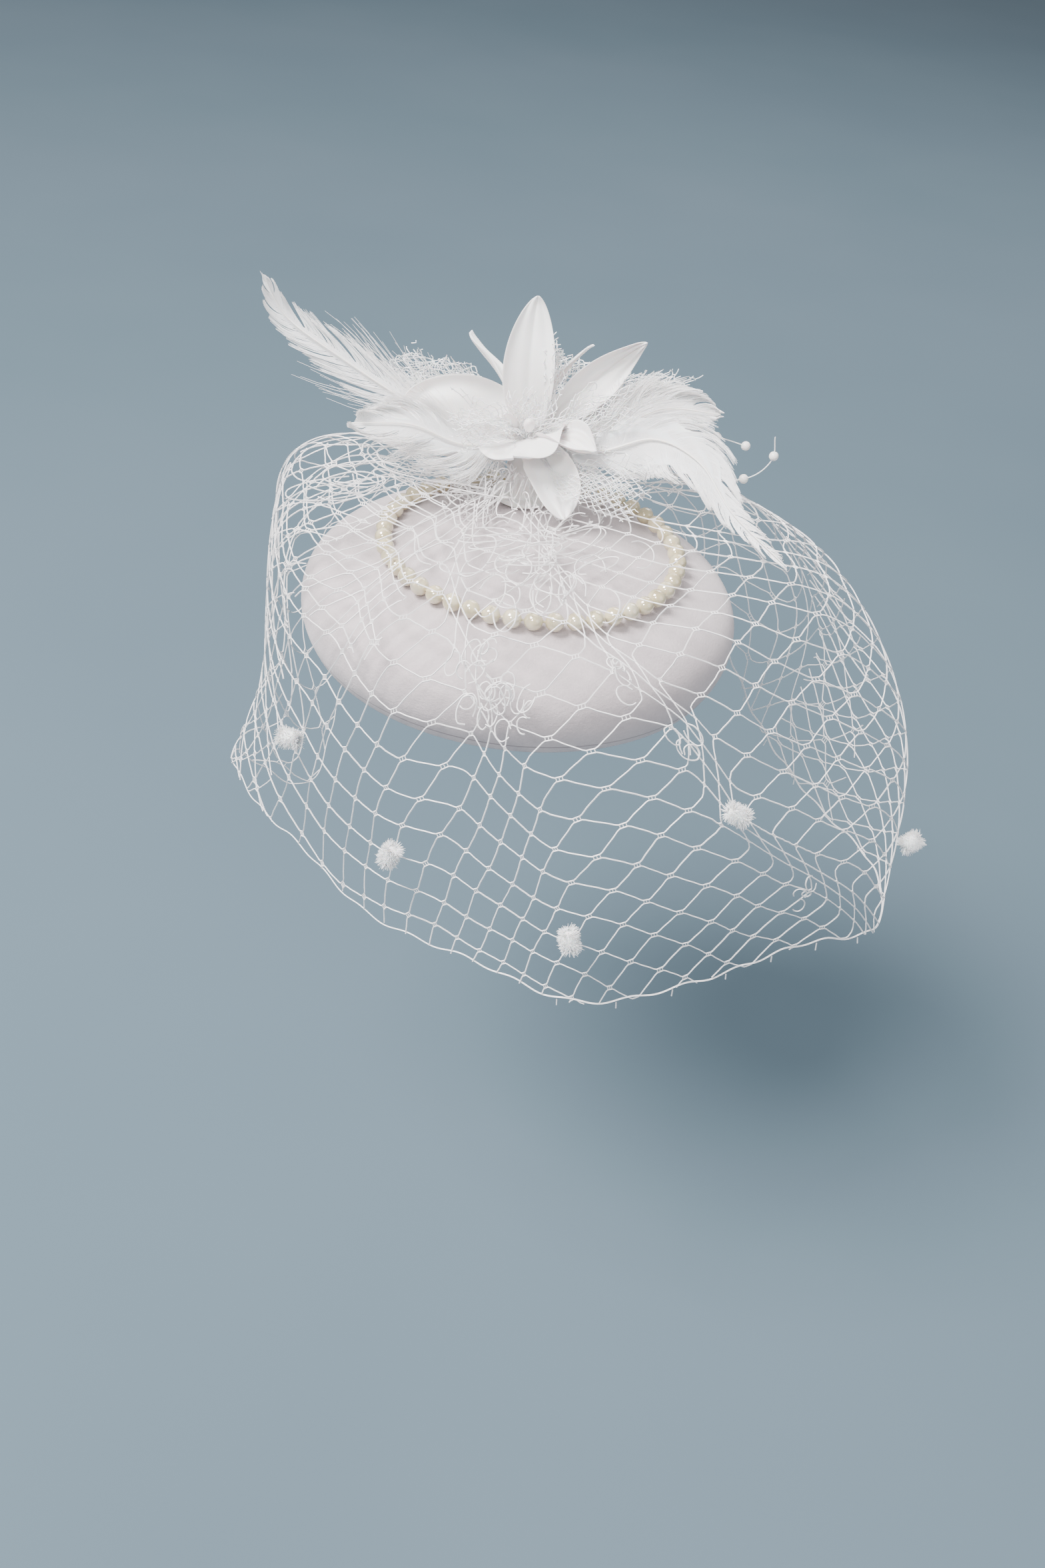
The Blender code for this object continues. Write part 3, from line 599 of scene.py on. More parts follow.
def turned(name, outline, x, y, steps):
    """A body turned round an upright axis from its outline, which is a list of radii and heights."""
    bpy.ops.mesh.primitive_plane_add(size=0.001)
    body = bpy.context.object
    body.name = name
    bpy.ops.object.mode_set(mode="EDIT")
    bpy.ops.mesh.select_all(action="SELECT")
    bpy.ops.mesh.merge(type="CENTER")
    bpy.ops.transform.translate(value=(x + outline[0][0], y, outline[0][1]))
    for (r0, z0), (r1, z1) in zip(outline, outline[1:]):
        bpy.ops.mesh.extrude_region_move(TRANSFORM_OT_translate={"value": (r1 - r0, 0.0, z1 - z0)})
    bpy.ops.mesh.select_all(action="SELECT")
    bpy.ops.mesh.spin(steps=steps, angle=2 * math.pi, axis=(0.0, 0.0, 1.0), center=(x, y, 0.0))
    bpy.ops.mesh.select_all(action="SELECT")
    bpy.ops.mesh.remove_doubles(threshold=0.00001)
    bpy.ops.mesh.normals_make_consistent(inside=False)
    bpy.ops.object.mode_set(mode="OBJECT")
    return body


def thicken(piece, thickness, offset=0.0):
    wall = piece.modifiers.new("wall", "SOLIDIFY")
    wall.thickness = thickness
    wall.offset = offset


def apply_modifiers(piece):
    pick(piece)
    for modifier in list(piece.modifiers):
        bpy.ops.object.modifier_apply(modifier=modifier.name)


# Crown

def crown_height(radius):
    """How high the crown's top lies at distances from its axis."""
    share = np.clip(radius / BELLY_RADIUS, 0, 1) ** CROWN_FULLNESS
    return BELLY_HEIGHT + (CROWN_HEIGHT - BELLY_HEIGHT) * (1.0 - share) ** (1.0 / CROWN_FULLNESS)


def crown_profile():
    """Radii and heights of the felt's outside, from the top's middle out and down to the rim."""
    profile = []
    for i in range(CAP_RINGS + 1):
        turn = math.radians(90.0 * (1.0 - (i / CAP_RINGS) ** 0.9))
        across = math.cos(turn) ** (2.0 / CROWN_FULLNESS)
        up = math.sin(turn) ** (2.0 / CROWN_FULLNESS)
        profile.append((BELLY_RADIUS * across, BELLY_HEIGHT + (CROWN_HEIGHT - BELLY_HEIGHT) * up))
    for i in range(1, SKIRT_RINGS + 1):
        down = i / SKIRT_RINGS
        profile.append((BELLY_RADIUS - (BELLY_RADIUS - RIM_RADIUS) * down ** 1.8, BELLY_HEIGHT * (1 - down)))
    return profile


def add_crown():
    """The felt turned round its axis from its profile, with a wall and a soft edge at the rim."""
    crown = turned("crown_felt", crown_profile(), 0.0, 0.0, CROWN_STEPS)
    thicken(crown, FELT, -1.0)
    edge = crown.modifiers.new("edge", "BEVEL")
    edge.width = 0.0007
    edge.segments = 3
    edge.limit_method = "ANGLE"
    edge.angle_limit = math.radians(FELT_ANGLE)
    apply_modifiers(crown)
    finish_piece(crown, ["crown"], felt_material(), FELT_ANGLE)


# Pearls

def ring_height():
    """How high the pearls' middles lie, so that they rest on the felt where it is nearest."""
    nearest = RING_RADIUS - RING_X
    step = 0.0003
    slope = (crown_height(nearest + step) - crown_height(nearest - step)) / (2 * step)
    return crown_height(nearest) + (PEARL_RADIUS + step) * math.hypot(1.0, slope)


def add_pearls():
    pearl = ball(PEARL_RADIUS * 0.985, 28, 18)
    beads = []
    for i in range(PEARLS):
        turn = 2 * math.pi * i / PEARLS
        bead = placed("pearl", pearl.data.copy())
        size = 1.0 + 0.03 * chance.uniform(-1, 1)
        spot = (RING_X + RING_RADIUS * math.cos(turn), RING_RADIUS * math.sin(turn), ring_height())
        tilt = Matrix.Rotation(math.pi / 2 + chance.uniform(-0.1, 0.1), 4, "X")
        lean = Matrix.Rotation(turn, 4, "Z") @ tilt
        bead.data.transform(Matrix.Translation(spot) @ lean @ Matrix.Scale(size, 4))
        beads.append(bead)
    bpy.data.objects.remove(pearl)
    turns = np.linspace(0, 2 * math.pi, 241)
    thread = np.stack([RING_X + RING_RADIUS * np.cos(turns), RING_RADIUS * np.sin(turns),
                       np.full_like(turns, ring_height())], 1)
    beads.append(strands("thread", [thread], [THREAD_RADIUS]))
    ring = join("pearls_on_thread", beads)
    finish_piece(ring, ["pearl_ring"], pearl_material())


# Veil

def veil_stations(row):
    """Places of one row of VEIL_SECTIONS, from the stem out to the hem."""
    hem_x, hem_y, hem_up, crest_out, crest_up, shoulder_out, shoulder_up, side_out, side_up = row
    hem = np.array((hem_x * BELLY_RADIUS - STEM_X, hem_y * BELLY_RADIUS - STEM_Y))
    reach = np.linalg.norm(hem)
    out = hem / reach

    def level(share):
        return share * (CROWN_HEIGHT if share > 0 else VEIL_DROP)

    stations = (
        (GATHER_START, CROWN_HEIGHT + GATHER_TOP),
        (GATHER_REACH, CROWN_HEIGHT + GATHER_EDGE),
        (crest_out * reach, crest_up * CROWN_HEIGHT),
        (shoulder_out * reach, shoulder_up * CROWN_HEIGHT),
        (side_out * reach, level(side_up)),
        (reach, level(hem_up)),
    )
    return [(STEM_X + out[0] * r, STEM_Y + out[1] * r, z) for r, z in stations]


def veil_surface():
    """Points of the veil's surface for ACROSS and DOWN."""
    sections = np.array([veil_stations(row) for row in VEIL_SECTIONS])
    shares = np.interp(DOWN, STATION_SHARES, np.linspace(0, 1, len(STATION_SHARES)))
    surface = np.empty((len(ACROSS), len(DOWN), 3))
    lanes = np.array([spline(section, shares) for section in sections])
    for j in range(len(DOWN)):
        surface[:, j] = spline(lanes[:, j], ACROSS)
    return surface


def hem_offset(across):
    """How far up the net, from its lowest thread, the hem lies: the net hangs askew on the left."""
    places, lifts = np.array(HEM_OFFSETS).T
    rough = np.interp(across, places, lifts)
    window = np.hanning(41)
    padded = np.pad(rough, 20, mode="edge")
    return np.convolve(padded, window / window.sum(), mode="valid")


def in_picture(points):
    """Where points fall in the picture, in pixels across and down, and the camera's rays to them."""
    view = camera_view()
    rays = points - view[:3, 3]
    depth = -(rays @ view[:3, 2])
    across = PICTURE_SIZE[0] / 2 + FOCAL_PIXELS * (rays @ view[:3, 0]) / depth
    down = PICTURE_SIZE[1] / 2 - FOCAL_PIXELS * (rays @ view[:3, 1]) / depth
    return across, down, unit(rays)


def surface_frame(points):
    """The way along the hem at each point of a sheet, and the way out of the sheet."""
    along = np.gradient(points, axis=0)
    fall = np.gradient(points, axis=1)
    return unit(along), unit(np.cross(fall, along))


def row_ways(points, guided):
    """The way that the net's rows run at each point of a sheet, and the way up across the rows."""
    along, normal = surface_frame(points)
    if guided:
        across, down, rays = in_picture(points)
        view = camera_view()
        total, angle = 0.0, 0.0
        for x, y, degrees in NET_WAYS:
            near = 1.0 / ((across - x) ** 2 + (down - y) ** 2 + WAY_REACH ** 2) ** 2
            total = total + near
            angle = angle + near * math.radians(degrees)
        angle = (angle / total)[..., None]
        shown = np.cos(angle) * view[:3, 0] + np.sin(angle) * view[:3, 1]
        way = unit(np.cross(normal, np.cross(rays, shown)))
        way *= np.sign((way * shown).sum(-1, keepdims=True))
        facing = -(normal * rays).sum(-1, keepdims=True)
        near = smoothstep((facing + 0.05) / 0.35)
        along = unit(way * near + along * (1 - near))
    return along, unit(np.cross(normal, along))


def fit_field(points, ways, held=None):
    """A value at each point of a sheet that grows along the ways by one for each metre, as nearly as
    the sheet allows, by conjugate gradients. The last column may be held at given values."""
    steps = [np.diff(points, axis=axis) for axis in (0, 1)]
    middles = [(ways[1:] + ways[:-1]) / 2, (ways[:, 1:] + ways[:, :-1]) / 2]
    lengths = [np.linalg.norm(step, axis=-1) + 1e-5 for step in steps]
    cross = [np.abs(np.gradient(np.cumsum(np.pad(lengths[1], ((0, 0), (1, 0))), axis=1), axis=1)),
             np.abs(np.gradient(np.cumsum(np.pad(lengths[0], ((1, 0), (0, 0))), axis=0), axis=0))]
    weights = [np.clip(((cross[0][1:] + cross[0][:-1]) / 2) / lengths[0], 0.05, 20.0),
               np.clip(((cross[1][:, 1:] + cross[1][:, :-1]) / 2) / lengths[1], 0.05, 20.0)]
    wanted = [(step * middle).sum(-1) for step, middle in zip(steps, middles)]
    firm = 0.0 if held is None else 50.0

    def gather(across, along):
        total = np.zeros(points.shape[:2])
        total[1:] += across
        total[:-1] -= across
        total[:, 1:] += along
        total[:, :-1] -= along
        return total

    def apply(field):
        total = gather(weights[0] * np.diff(field, axis=0), weights[1] * np.diff(field, axis=1))
        total[:, -1] += firm * field[:, -1]
        return total

    right = gather(weights[0] * wanted[0], weights[1] * wanted[1])
    if held is not None:
        right[:, -1] += firm * held
    field = np.zeros(points.shape[:2])
    rest = right - apply(field)
    way, size = rest.copy(), (rest ** 2).sum()
    for _ in range(FIT_STEPS):
        pushed = apply(way)
        step = size / (way * pushed).sum()
        field += step * way
        rest -= step * pushed
        new_size = (rest ** 2).sum()
        if new_size < 1e-16:
            break
        way = rest + way * (new_size / size)
        size = new_size
    return field


def turn_area(one, other):
    """Area of the parallelogram of each pair of flat ways."""
    return one[:, 0] * other[:, 1] - one[:, 1] * other[:, 0]


class NetSheet:
    """A stretch of the veil's surface with the net laid on it: each point's place in the flat net."""

    def __init__(self, surface, first, last, guided, deepest):
        self.deepest = deepest
        chosen = (ACROSS >= first - 1e-6) & (ACROSS <= last + 1e-6)
        across = ACROSS[chosen]
        self.points = surface[chosen]
        along, rise = row_ways(self.points, guided)
        self.normal = surface_frame(self.points)[1]
        self.u = fit_field(self.points, along)
        self.v = fit_field(self.points, rise, hem_offset(ACROSS)[chosen])
        self.u -= self.u.min()
        room = np.linalg.norm(np.gradient(self.points, across, axis=0), axis=-1)
        for places, halves, spare, proud in FOLDS:
            place = np.interp(DOWN, FOLD_LEVELS, np.broadcast_to(places, len(FOLD_LEVELS)))
            half = np.interp(DOWN, FOLD_LEVELS, halves)
            if place.max() < first or place.min() > last:
                continue
            share = (across[:, None] - place) * room / (2 * half) + 0.5
            self.u += spare * smoothstep(share)
            stand = proud * np.sin(math.pi * np.clip(share, 0, 1)) ** 2 * np.minimum(1, 0.004 / half)
            self.points = self.points + self.normal * stand[..., None]
        self.table_step = 0.003
        self.corner = np.array((self.u.min(), self.v.min())) - 0.009
        cells = ((np.stack([self.u, self.v], -1) - self.corner) / self.table_step).astype(int)
        self.table = np.full(cells.reshape(-1, 2).max(0) + 5, -1)
        order = np.arange(self.u.size)
        self.table[cells[..., 0].ravel(), cells[..., 1].ravel()] = order
        for _ in range(4):
            for axis in (0, 1):
                for shift in (-1, 1):
                    moved = np.roll(self.table, shift, axis)
                    self.table = np.where(self.table < 0, moved, self.table)

    def look_up(self, u, v):
        """Places of the net at distances along its rows and across them, and what is not on the sheet."""
        cell = ((np.stack([u, v], -1) - self.corner) / self.table_step).astype(int)
        inside = ((cell >= 0) & (cell < self.table.shape)).all(-1)
        cell = np.clip(cell, 0, np.array(self.table.shape) - 1)
        near = self.table[cell[..., 0], cell[..., 1]]
        inside &= near >= 0
        last = np.array((len(self.points), len(DOWN))) - 1.001
        at = np.clip(np.stack(np.divmod(np.maximum(near, 0), len(DOWN)), -1), 0, last)
        wanted = np.stack([u, v], -1)
        flat = np.stack([self.u, self.v], -1)
        for _ in range(8):
            here, across, down = self.around(flat, at)
            miss = wanted - here
            area = turn_area(across, down)
            area = np.where(np.abs(area) < 1e-12, 1e-12, area)
            step = np.stack([turn_area(miss, down), turn_area(across, miss)], -1) / area[:, None]
            at = np.clip(at + np.clip(step, -3, 3), 0, last)
        miss = np.linalg.norm(wanted - self.around(flat, at)[0], axis=-1)
        found = self.around(self.points, at)[0]
        found[~inside | (miss > NET_MISS) | (at[:, 1] / (len(DOWN) - 1) > self.deepest)] = np.nan
        return found

    def around(self, values, at):
        """The value at places between the points, and how it grows across the sheet and down it."""
        i, j = at.astype(int).T
        s, t = (at[:, :1] - i[:, None]), (at[:, 1:] - j[:, None])
        p00, p10, p01, p11 = values[i, j], values[i + 1, j], values[i, j + 1], values[i + 1, j + 1]
        here = (p00 * (1 - s) + p10 * s) * (1 - t) + (p01 * (1 - s) + p11 * s) * t
        return here, (p10 - p00) * (1 - t) + (p11 - p01) * t, (p01 - p00) * (1 - s) + (p11 - p10) * s


def whole_runs(points, longest=0.009):
    """The stretches of a line where it lies on the net, without its missing points or leaps."""
    good = ~np.isnan(points).any(1)
    runs, start = [], 0
    for i in range(1, len(points) + 1):
        leap = i < len(points) and np.linalg.norm(points[i] - points[i - 1]) > longest
        if i == len(points) or not good[i] or not good[i - 1] or leap:
            if i - start > 2 and good[start:i].all():
                runs.append(points[start:i])
            start = i
    return runs


def stray(u, v, turns):
    """Small uneven shifts of the net in its own plane."""
    along = 0.0011 * np.sin(u / 0.019 + v / 0.031 + turns[0])
    along += 0.0008 * np.sin(u / 0.0083 - v / 0.012 + turns[1])
    up = 0.0009 * np.sin(u / 0.023 - v / 0.017 + turns[2])
    up += 0.0006 * np.sin(u / 0.0071 + v / 0.0093 + turns[3])
    return u + along, v + up


def zigzag(row, low, total):
    """One thread across the flat net: it touches the next thread above and the one below by turns."""
    half = CELL_WIDTH / 2
    swing = (ROW_STEP - KNOT_GAP) / 2
    xs, ys = [], []
    for k in range(int((total - low) / half) + 1):
        side = 1 if (k + row) % 2 else -1
        x = low + k * half
        for dx, lift in ((0.0, 1.0), (KNOT_RUN, 1.0), (KNOT_RUN + 0.0009, 0.84), (half * 0.36, 0.36),
                         (half * 0.5, 0.0), (half * 0.64, -0.36), (half - KNOT_RUN - 0.0009, -0.84),
                         (half - KNOT_RUN, -1.0)):
            xs.append(x + dx)
            ys.append((row + 0.5) * ROW_STEP + side * swing * lift)
    return np.array(xs), np.array(ys)


def gathered_net():
    """The net's upper end where it is drawn in round the stem: ruffles that stand up and fall back."""
    runs = []
    for number, way in enumerate(np.radians(GATHER_WAYS)):
        long = chance.uniform(0.022, 0.032) if number < FRONT_WAYS else 0.018
        wide = chance.uniform(0.020, 0.030)
        tall = chance.uniform(0.006, 0.012)
        turns = chance.uniform(0, 6.28, 4)
        lean = chance.uniform(-0.35, 0.35)
        for row in range(int(long / ROW_STEP * 1.5) + 1):
            u, v = stray(*zigzag(row, 0.0, wide * 1.5), turns)
            side = u / (wide * 1.5) * 2 - 1
            out = np.clip(v / (long * 1.25), 0, 1.15)
            spread = 0.15 + 0.85 * out
            pleat = np.sin(side * 7.5 + turns[0]) * 0.0045 * spread
            radius = STEM_RADIUS + 0.0005 + long * out ** 0.9
            turn = way + lean * out + side * wide / 2 * spread / (radius + 0.004)
            height = tall * np.sin(math.pi * np.clip(out, 0, 1) ** 0.6) + 0.0105 * (1 - out) + pleat
            x = STEM_X + (radius + pleat * 0.5) * np.cos(turn)
            y = STEM_Y + (radius + pleat * 0.5) * np.sin(turn)
            nearest = np.hypot(x, y)
            floor = crown_height(np.minimum(nearest, BELLY_RADIUS)) + 0.0012
            z = np.maximum(CROWN_HEIGHT + height, floor + 0.0008 * (1 + np.sin(side * 9 + turns[1])))
            line = np.stack([x, y, z], 1)
            line[(out > 1.1) | (np.abs(side) > 1)] = np.nan
            runs += whole_runs(line)
    return runs


def loose_loops(surface):
    """Loops and cut ends of loose net that stand out of the veil."""
    normal = surface_frame(surface)[1]
    across, down, rays = in_picture(surface)
    facing = -(normal * rays).sum(-1) > 0.15
    view = camera_view()
    lines = []
    for x, y, count, long, wide, degrees, scatter, proud in LOOPS:
        gap = np.where(facing, (across - x) ** 2 + (down - y) ** 2, 9e9)
        i, j = np.unravel_index(np.argmin(gap), gap.shape)
        out = normal[i, j]
        degrees = math.radians(degrees)
        shown = view[:3, 0] * math.cos(degrees) + view[:3, 1] * math.sin(degrees)
        way = unit(shown - out * (shown @ out))
        aside = np.cross(out, way)
        for _ in range(count):
            middle = surface[i, j] + chance.normal(0, scatter / 2, 2) @ np.stack([way, aside])
            turns = chance.uniform(0, 6.28) + np.linspace(0, chance.uniform(3.5, 6.0), 9)
            big = chance.uniform(0.6, 1.2) * (1 + 0.15 * np.sin(2 * turns + chance.uniform(0, 6)))
            lift = chance.uniform(0.2, 1.0) * proud * (1 + 0.5 * np.sin(turns + chance.uniform(0, 6)))
            spots = (middle + way * (big * long / 2 * np.cos(turns))[:, None]
                     + aside * (big * wide / 2 * np.sin(turns))[:, None] + out * lift[:, None])
            lines.append(spline(spots, np.linspace(0, 1, 28)))
    return lines


def add_veil():
    surface = veil_surface()
    sheets = [NetSheet(surface, *sheet) for sheet in NET_SHEETS]
    threads, bars = [], []

    for sheet in sheets:
        turns = chance.uniform(0, 6.28, 4)
        low_u, high_u, low_v, high_v = sheet.u.min(), sheet.u.max(), sheet.v.min(), sheet.v.max()
        k = np.arange(int((high_u - low_u) / CELL_WIDTH * 2) + 1)
        for row in range(int(low_v / ROW_STEP) - 1, int(high_v / ROW_STEP) + 1):
            u, v = stray(*zigzag(row, low_u, high_u), turns)
            threads += whole_runs(sheet.look_up(u, v))
            met = k[(k + row) % 2 == 0]
            for dx in (-KNOT_RUN * 0.8, 0.0, KNOT_RUN * 0.8):
                u = low_u + met * CELL_WIDTH / 2 + dx
                ends = [sheet.look_up(*stray(u, np.full(len(u), row * ROW_STEP + half * KNOT_GAP), turns))
                        for half in (-0.5, 0.5)]
                for one, other in zip(*ends):
                    if not np.isnan(one + other).any() and np.linalg.norm(one - other) < 2 * KNOT_GAP:
                        bars.append(np.stack([one, other]))
    hem = surface[:, -1]
    up = unit(surface[:, -4] - hem)
    along = running_length(hem)
    wave = 0.0009 * (1 + np.sin(along * math.pi / CELL_WIDTH * 2))
    hem_thread = len(threads)
    threads.append(hem + up * wave[:, None])
    for at in np.arange(0.50 * along[-1], along[-1], CELL_WIDTH):
        i = int(np.interp(at, along, np.arange(len(along))))
        drop = -up[i] * HEM_TAIL + chance.normal(0, 0.0004, 3)
        threads.append(np.stack([hem[i], hem[i] + drop / 2, hem[i] + drop]))
    threads += gathered_net() + loose_loops(surface)
    thick = [STRAND] * len(threads)
    thick[hem_thread] = np.interp(ACROSS, (0.0, 0.38, 0.5, 1.0), (STRAND, STRAND, HEM_STRAND, HEM_STRAND))
    net = strands("veil_threads", threads, thick)
    ties = strands("veil_ties", bars, [BAR] * len(bars))
    veil = join("veil_net", [net, ties])
    finish_piece(veil, ["veil"], net_material())


# Spray

def head_middle():
    """The middle of the round head that carries the spray."""
    return np.array((STEM_X, STEM_Y, CROWN_HEIGHT + HEAD_HEIGHT))


def petal_width(share):
    full = np.sin(math.pi * np.minimum(share * 0.92 + 0.08, 1.0) ** 1.15) ** 0.75
    return np.maximum(0.03, full * np.minimum(1.0, 0.45 + 1.8 * share))


def vane_width(share):
    rise = 0.25 + 0.75 * np.minimum(share / 0.3, 1.0)
    return np.maximum(0.05, np.sin(math.pi * share ** 0.75) ** 0.6 * rise)


def tuft_width(share):
    return 0.10 + 0.90 * share ** 0.8


def spray_points(path):
    """Points of a path that starts in the middle of the spray's head."""
    return np.array([head_middle()] + [head_middle() + np.array(p) * SPREAD for p in path])


class Leaf:
    """The curved middle surface of a petal, feather or tuft: places on it by side (-1 to 1) and share
    of the way out."""

    def __init__(self, row, width, profile):
        path, facing, share, self.cup, *self.looks = row
        self.points = spray_points(path)
        self.facing = np.array(facing)
        self.width = width * share
        self.profile = profile
        steps = np.linspace(0, 1, 200)
        curve = spline(self.points, steps)
        self.length = running_length(curve)[-1]
        outside = np.linalg.norm(curve - head_middle(), axis=1) > HEAD_RADIUS * 0.6
        self.root = steps[np.argmax(outside)]

    def frame(self, out):
        middle = spline(self.points, out)
        ahead, behind = np.minimum(out + 0.01, 1), np.maximum(out - 0.01, 0)
        along = unit(spline(self.points, ahead) - spline(self.points, behind))
        aside = unit(np.cross(along, self.facing))
        return middle, along, aside, np.cross(aside, along)

    def place(self, side, out, lift=0.0):
        side, out = np.broadcast_arrays(np.asarray(side, float), np.asarray(out, float))
        middle, along, aside, up = self.frame(np.clip(out, 0, 1))
        full = self.profile(np.clip(out, 0, 1)) * self.width
        past = np.maximum(out - 1, 0) * self.length
        height = self.cup * full * side ** 2 + lift
        return middle + along * past[:, None] + aside * (full / 2 * side)[:, None] + up * height[:, None]


def add_petal(name, material):
    """A cupped leaf of stiff cloth, with waved and curled edges and a crease down its middle."""
    leaf = Leaf(PETALS[name], PETAL_WIDTH, petal_width)
    wave, curl, start, bend, crease, blunt, pleat = leaf.looks
    sharp = leaf.profile

    def profile(share):
        rounded = np.minimum(0.50 + 1.8 * share, 1.0) * (1 - np.clip(share, 0, 1) ** 6) ** 0.45
        least = 0.72 * smoothstep(blunt / 0.1) * sharp(np.array(0.5))
        broad = np.where(share < 0.5, np.maximum(sharp(share), least), sharp(share))
        return (1 - blunt) * broad + blunt * rounded * 0.95

    leaf.profile = profile
    piece, side, out = grid_piece(name + "_cloth", 20, 38)
    out = leaf.root + (1 - leaf.root) * out
    turn = chance.uniform(0, 6.28)
    edge = np.clip((np.abs(side) - start) / (1 - start), 0, 1)
    tip = np.clip((out - 0.72) / 0.28, 0, 1)
    lift = wave * np.abs(side) ** 1.5 * np.sin(2 * math.pi * (1.7 * out + 0.27 * np.sign(side)) + turn)
    lift += 0.5 * wave * np.sin(2 * math.pi * (2.3 * out + 0.6 * side) + 2 * turn) * tip
    lift += curl * edge ** 2 * np.sin(math.pi * np.clip(out * 1.05, 0, 1)) ** 0.7
    lift -= crease * np.exp(-(side / 0.12) ** 2) * np.sin(math.pi * np.clip(out, 0, 1)) ** 0.5
    lift += pleat * np.cos(side * 24 + 3 * out) * (1 - 0.6 * side ** 2)
    lift += 0.0007 * np.clip((out - 0.93) / 0.07, 0, 1) ** 2 * (1 + blunt)
    lift += bend * tip ** 2
    lift += 0.4 * wave * np.sin(side * 9 + 5 * out + turn) * np.clip(out * 1.5 - 0.3, 0, 1)
    set_points(piece, leaf.place(side * (1 - 0.10 * edge ** 2 * curl / 0.005), out, lift))
    thicken(piece, PETAL_CLOTH)
    soft = piece.modifiers.new("soft", "SUBSURF")
    soft.levels = soft.render_levels = 1
    apply_modifiers(piece)
    finish_piece(piece, [name], material)


def add_feather(name, material, horn):
    """A quill, barbs that gather into locks on both sides of it, and the close web along its middle."""
    leaf = Leaf(FEATHERS[name], FEATHER_WIDTH, vane_width)
    barbs, locks, angle, web, wild, narrows = leaf.looks
    plain = leaf.profile
    leaf.profile = lambda share: plain(share) * (1 - narrows * smoothstep((share - 0.48) / 0.34))
    lines, radii = [], []
    steps = np.linspace(leaf.root, 1.0, 60)
    quill = strands(name + "_quill", [leaf.place(0 * steps, steps, 0.0012)],
                    [np.linspace(*QUILL_RADII, len(steps))], 8)
    finish_piece(quill, [], horn)
    run = np.linspace(0, 1, 7)
    for hand in (-1, 1):
        ends = np.sort(chance.uniform(0, 1, locks))
        tips = chance.uniform(0.80, 1.08, locks)
        rises = chance.normal(0, 0.0011 * wild, locks)
        for i in range(barbs):
            at = leaf.root + (0.985 - leaf.root) * ((i + chance.uniform(0, 1)) / barbs)
            share = (at - leaf.root) / (1 - leaf.root)
            if narrows and chance.uniform(0, 1) < 0.8 * (share - 0.60) / 0.40:
                continue
            lock = min(np.searchsorted(ends, share), locks - 1)
            full = leaf.profile(np.array(at)) * leaf.width
            reach = full / 2 / math.tan(math.radians(angle)) / leaf.length
            middle = leaf.root + (1 - leaf.root) * ends[lock]
            tip = at + reach * chance.uniform(0.9, 1.1)
            tip += 0.75 * (middle + reach - tip) * chance.uniform(0.5, 1.0)
            tip = min(tip, 1.0 + 0.02 * chance.uniform(0, 1))
            side = hand * run ** 0.8 * tips[lock] * chance.uniform(0.88, 1.04)
            out = at + (tip - at) * run ** 1.15
            wander = chance.normal(0, 0.0006 * wild) * run ** 2
            lift = rises[lock] * run ** 1.5 + wander
            line = leaf.place(side, np.minimum(out, 1.02), lift)
            if wild > 0.8 and share < 0.5:
                line = line + chance.normal(0, 0.0016, 3) * (run ** 2)[:, None]
            lines.append(line)
            radii.append(np.linspace(*BARB_RADII, len(run)))
    if name == "feather_hackle":
        for _ in range(STRAY_BARBS):
            at = leaf.root + chance.uniform(0.05, 0.42)
            bow = chance.normal(0, 0.0018, 3)
            side = chance.choice((1.0, 1.0, -1.0)) * run * chance.uniform(1.0, 1.9)
            along = at + 0.22 * run ** 1.3 * chance.uniform(0.6, 1.3)
            line = leaf.place(side, along, chance.normal(0, 0.001) * run)
            lines.append(line + bow * (run ** 2)[:, None])
            radii.append(np.linspace(0.00016, 0.00005, len(run)))
    barbs_piece = strands(name + "_barbs", lines, radii)
    vane, side, out = grid_piece(name + "_vane", 18, 70)
    out = leaf.root + (1 - leaf.root) * out
    width = web * (1 + 0.10 * np.sin(out * 60 + 5 * np.sign(side)) * np.abs(side))
    width = width * (1 - 0.8 * (narrows > 0) * smoothstep((out - 0.60) / 0.25))
    slant = 0.10 * np.abs(side) * web
    lift = 0.00012 * np.cos(2 * math.pi * (out - slant) * leaf.length / 0.0009)
    set_points(vane, leaf.place(side * width, np.minimum(out + slant * (1 - out) * 0.4, 1), lift - 0.0001))
    thicken(vane, FEATHER_WEB)
    apply_modifiers(vane)
    feather = join(name + "_barbs", [barbs_piece, vane])
    finish_piece(feather, [name], material)


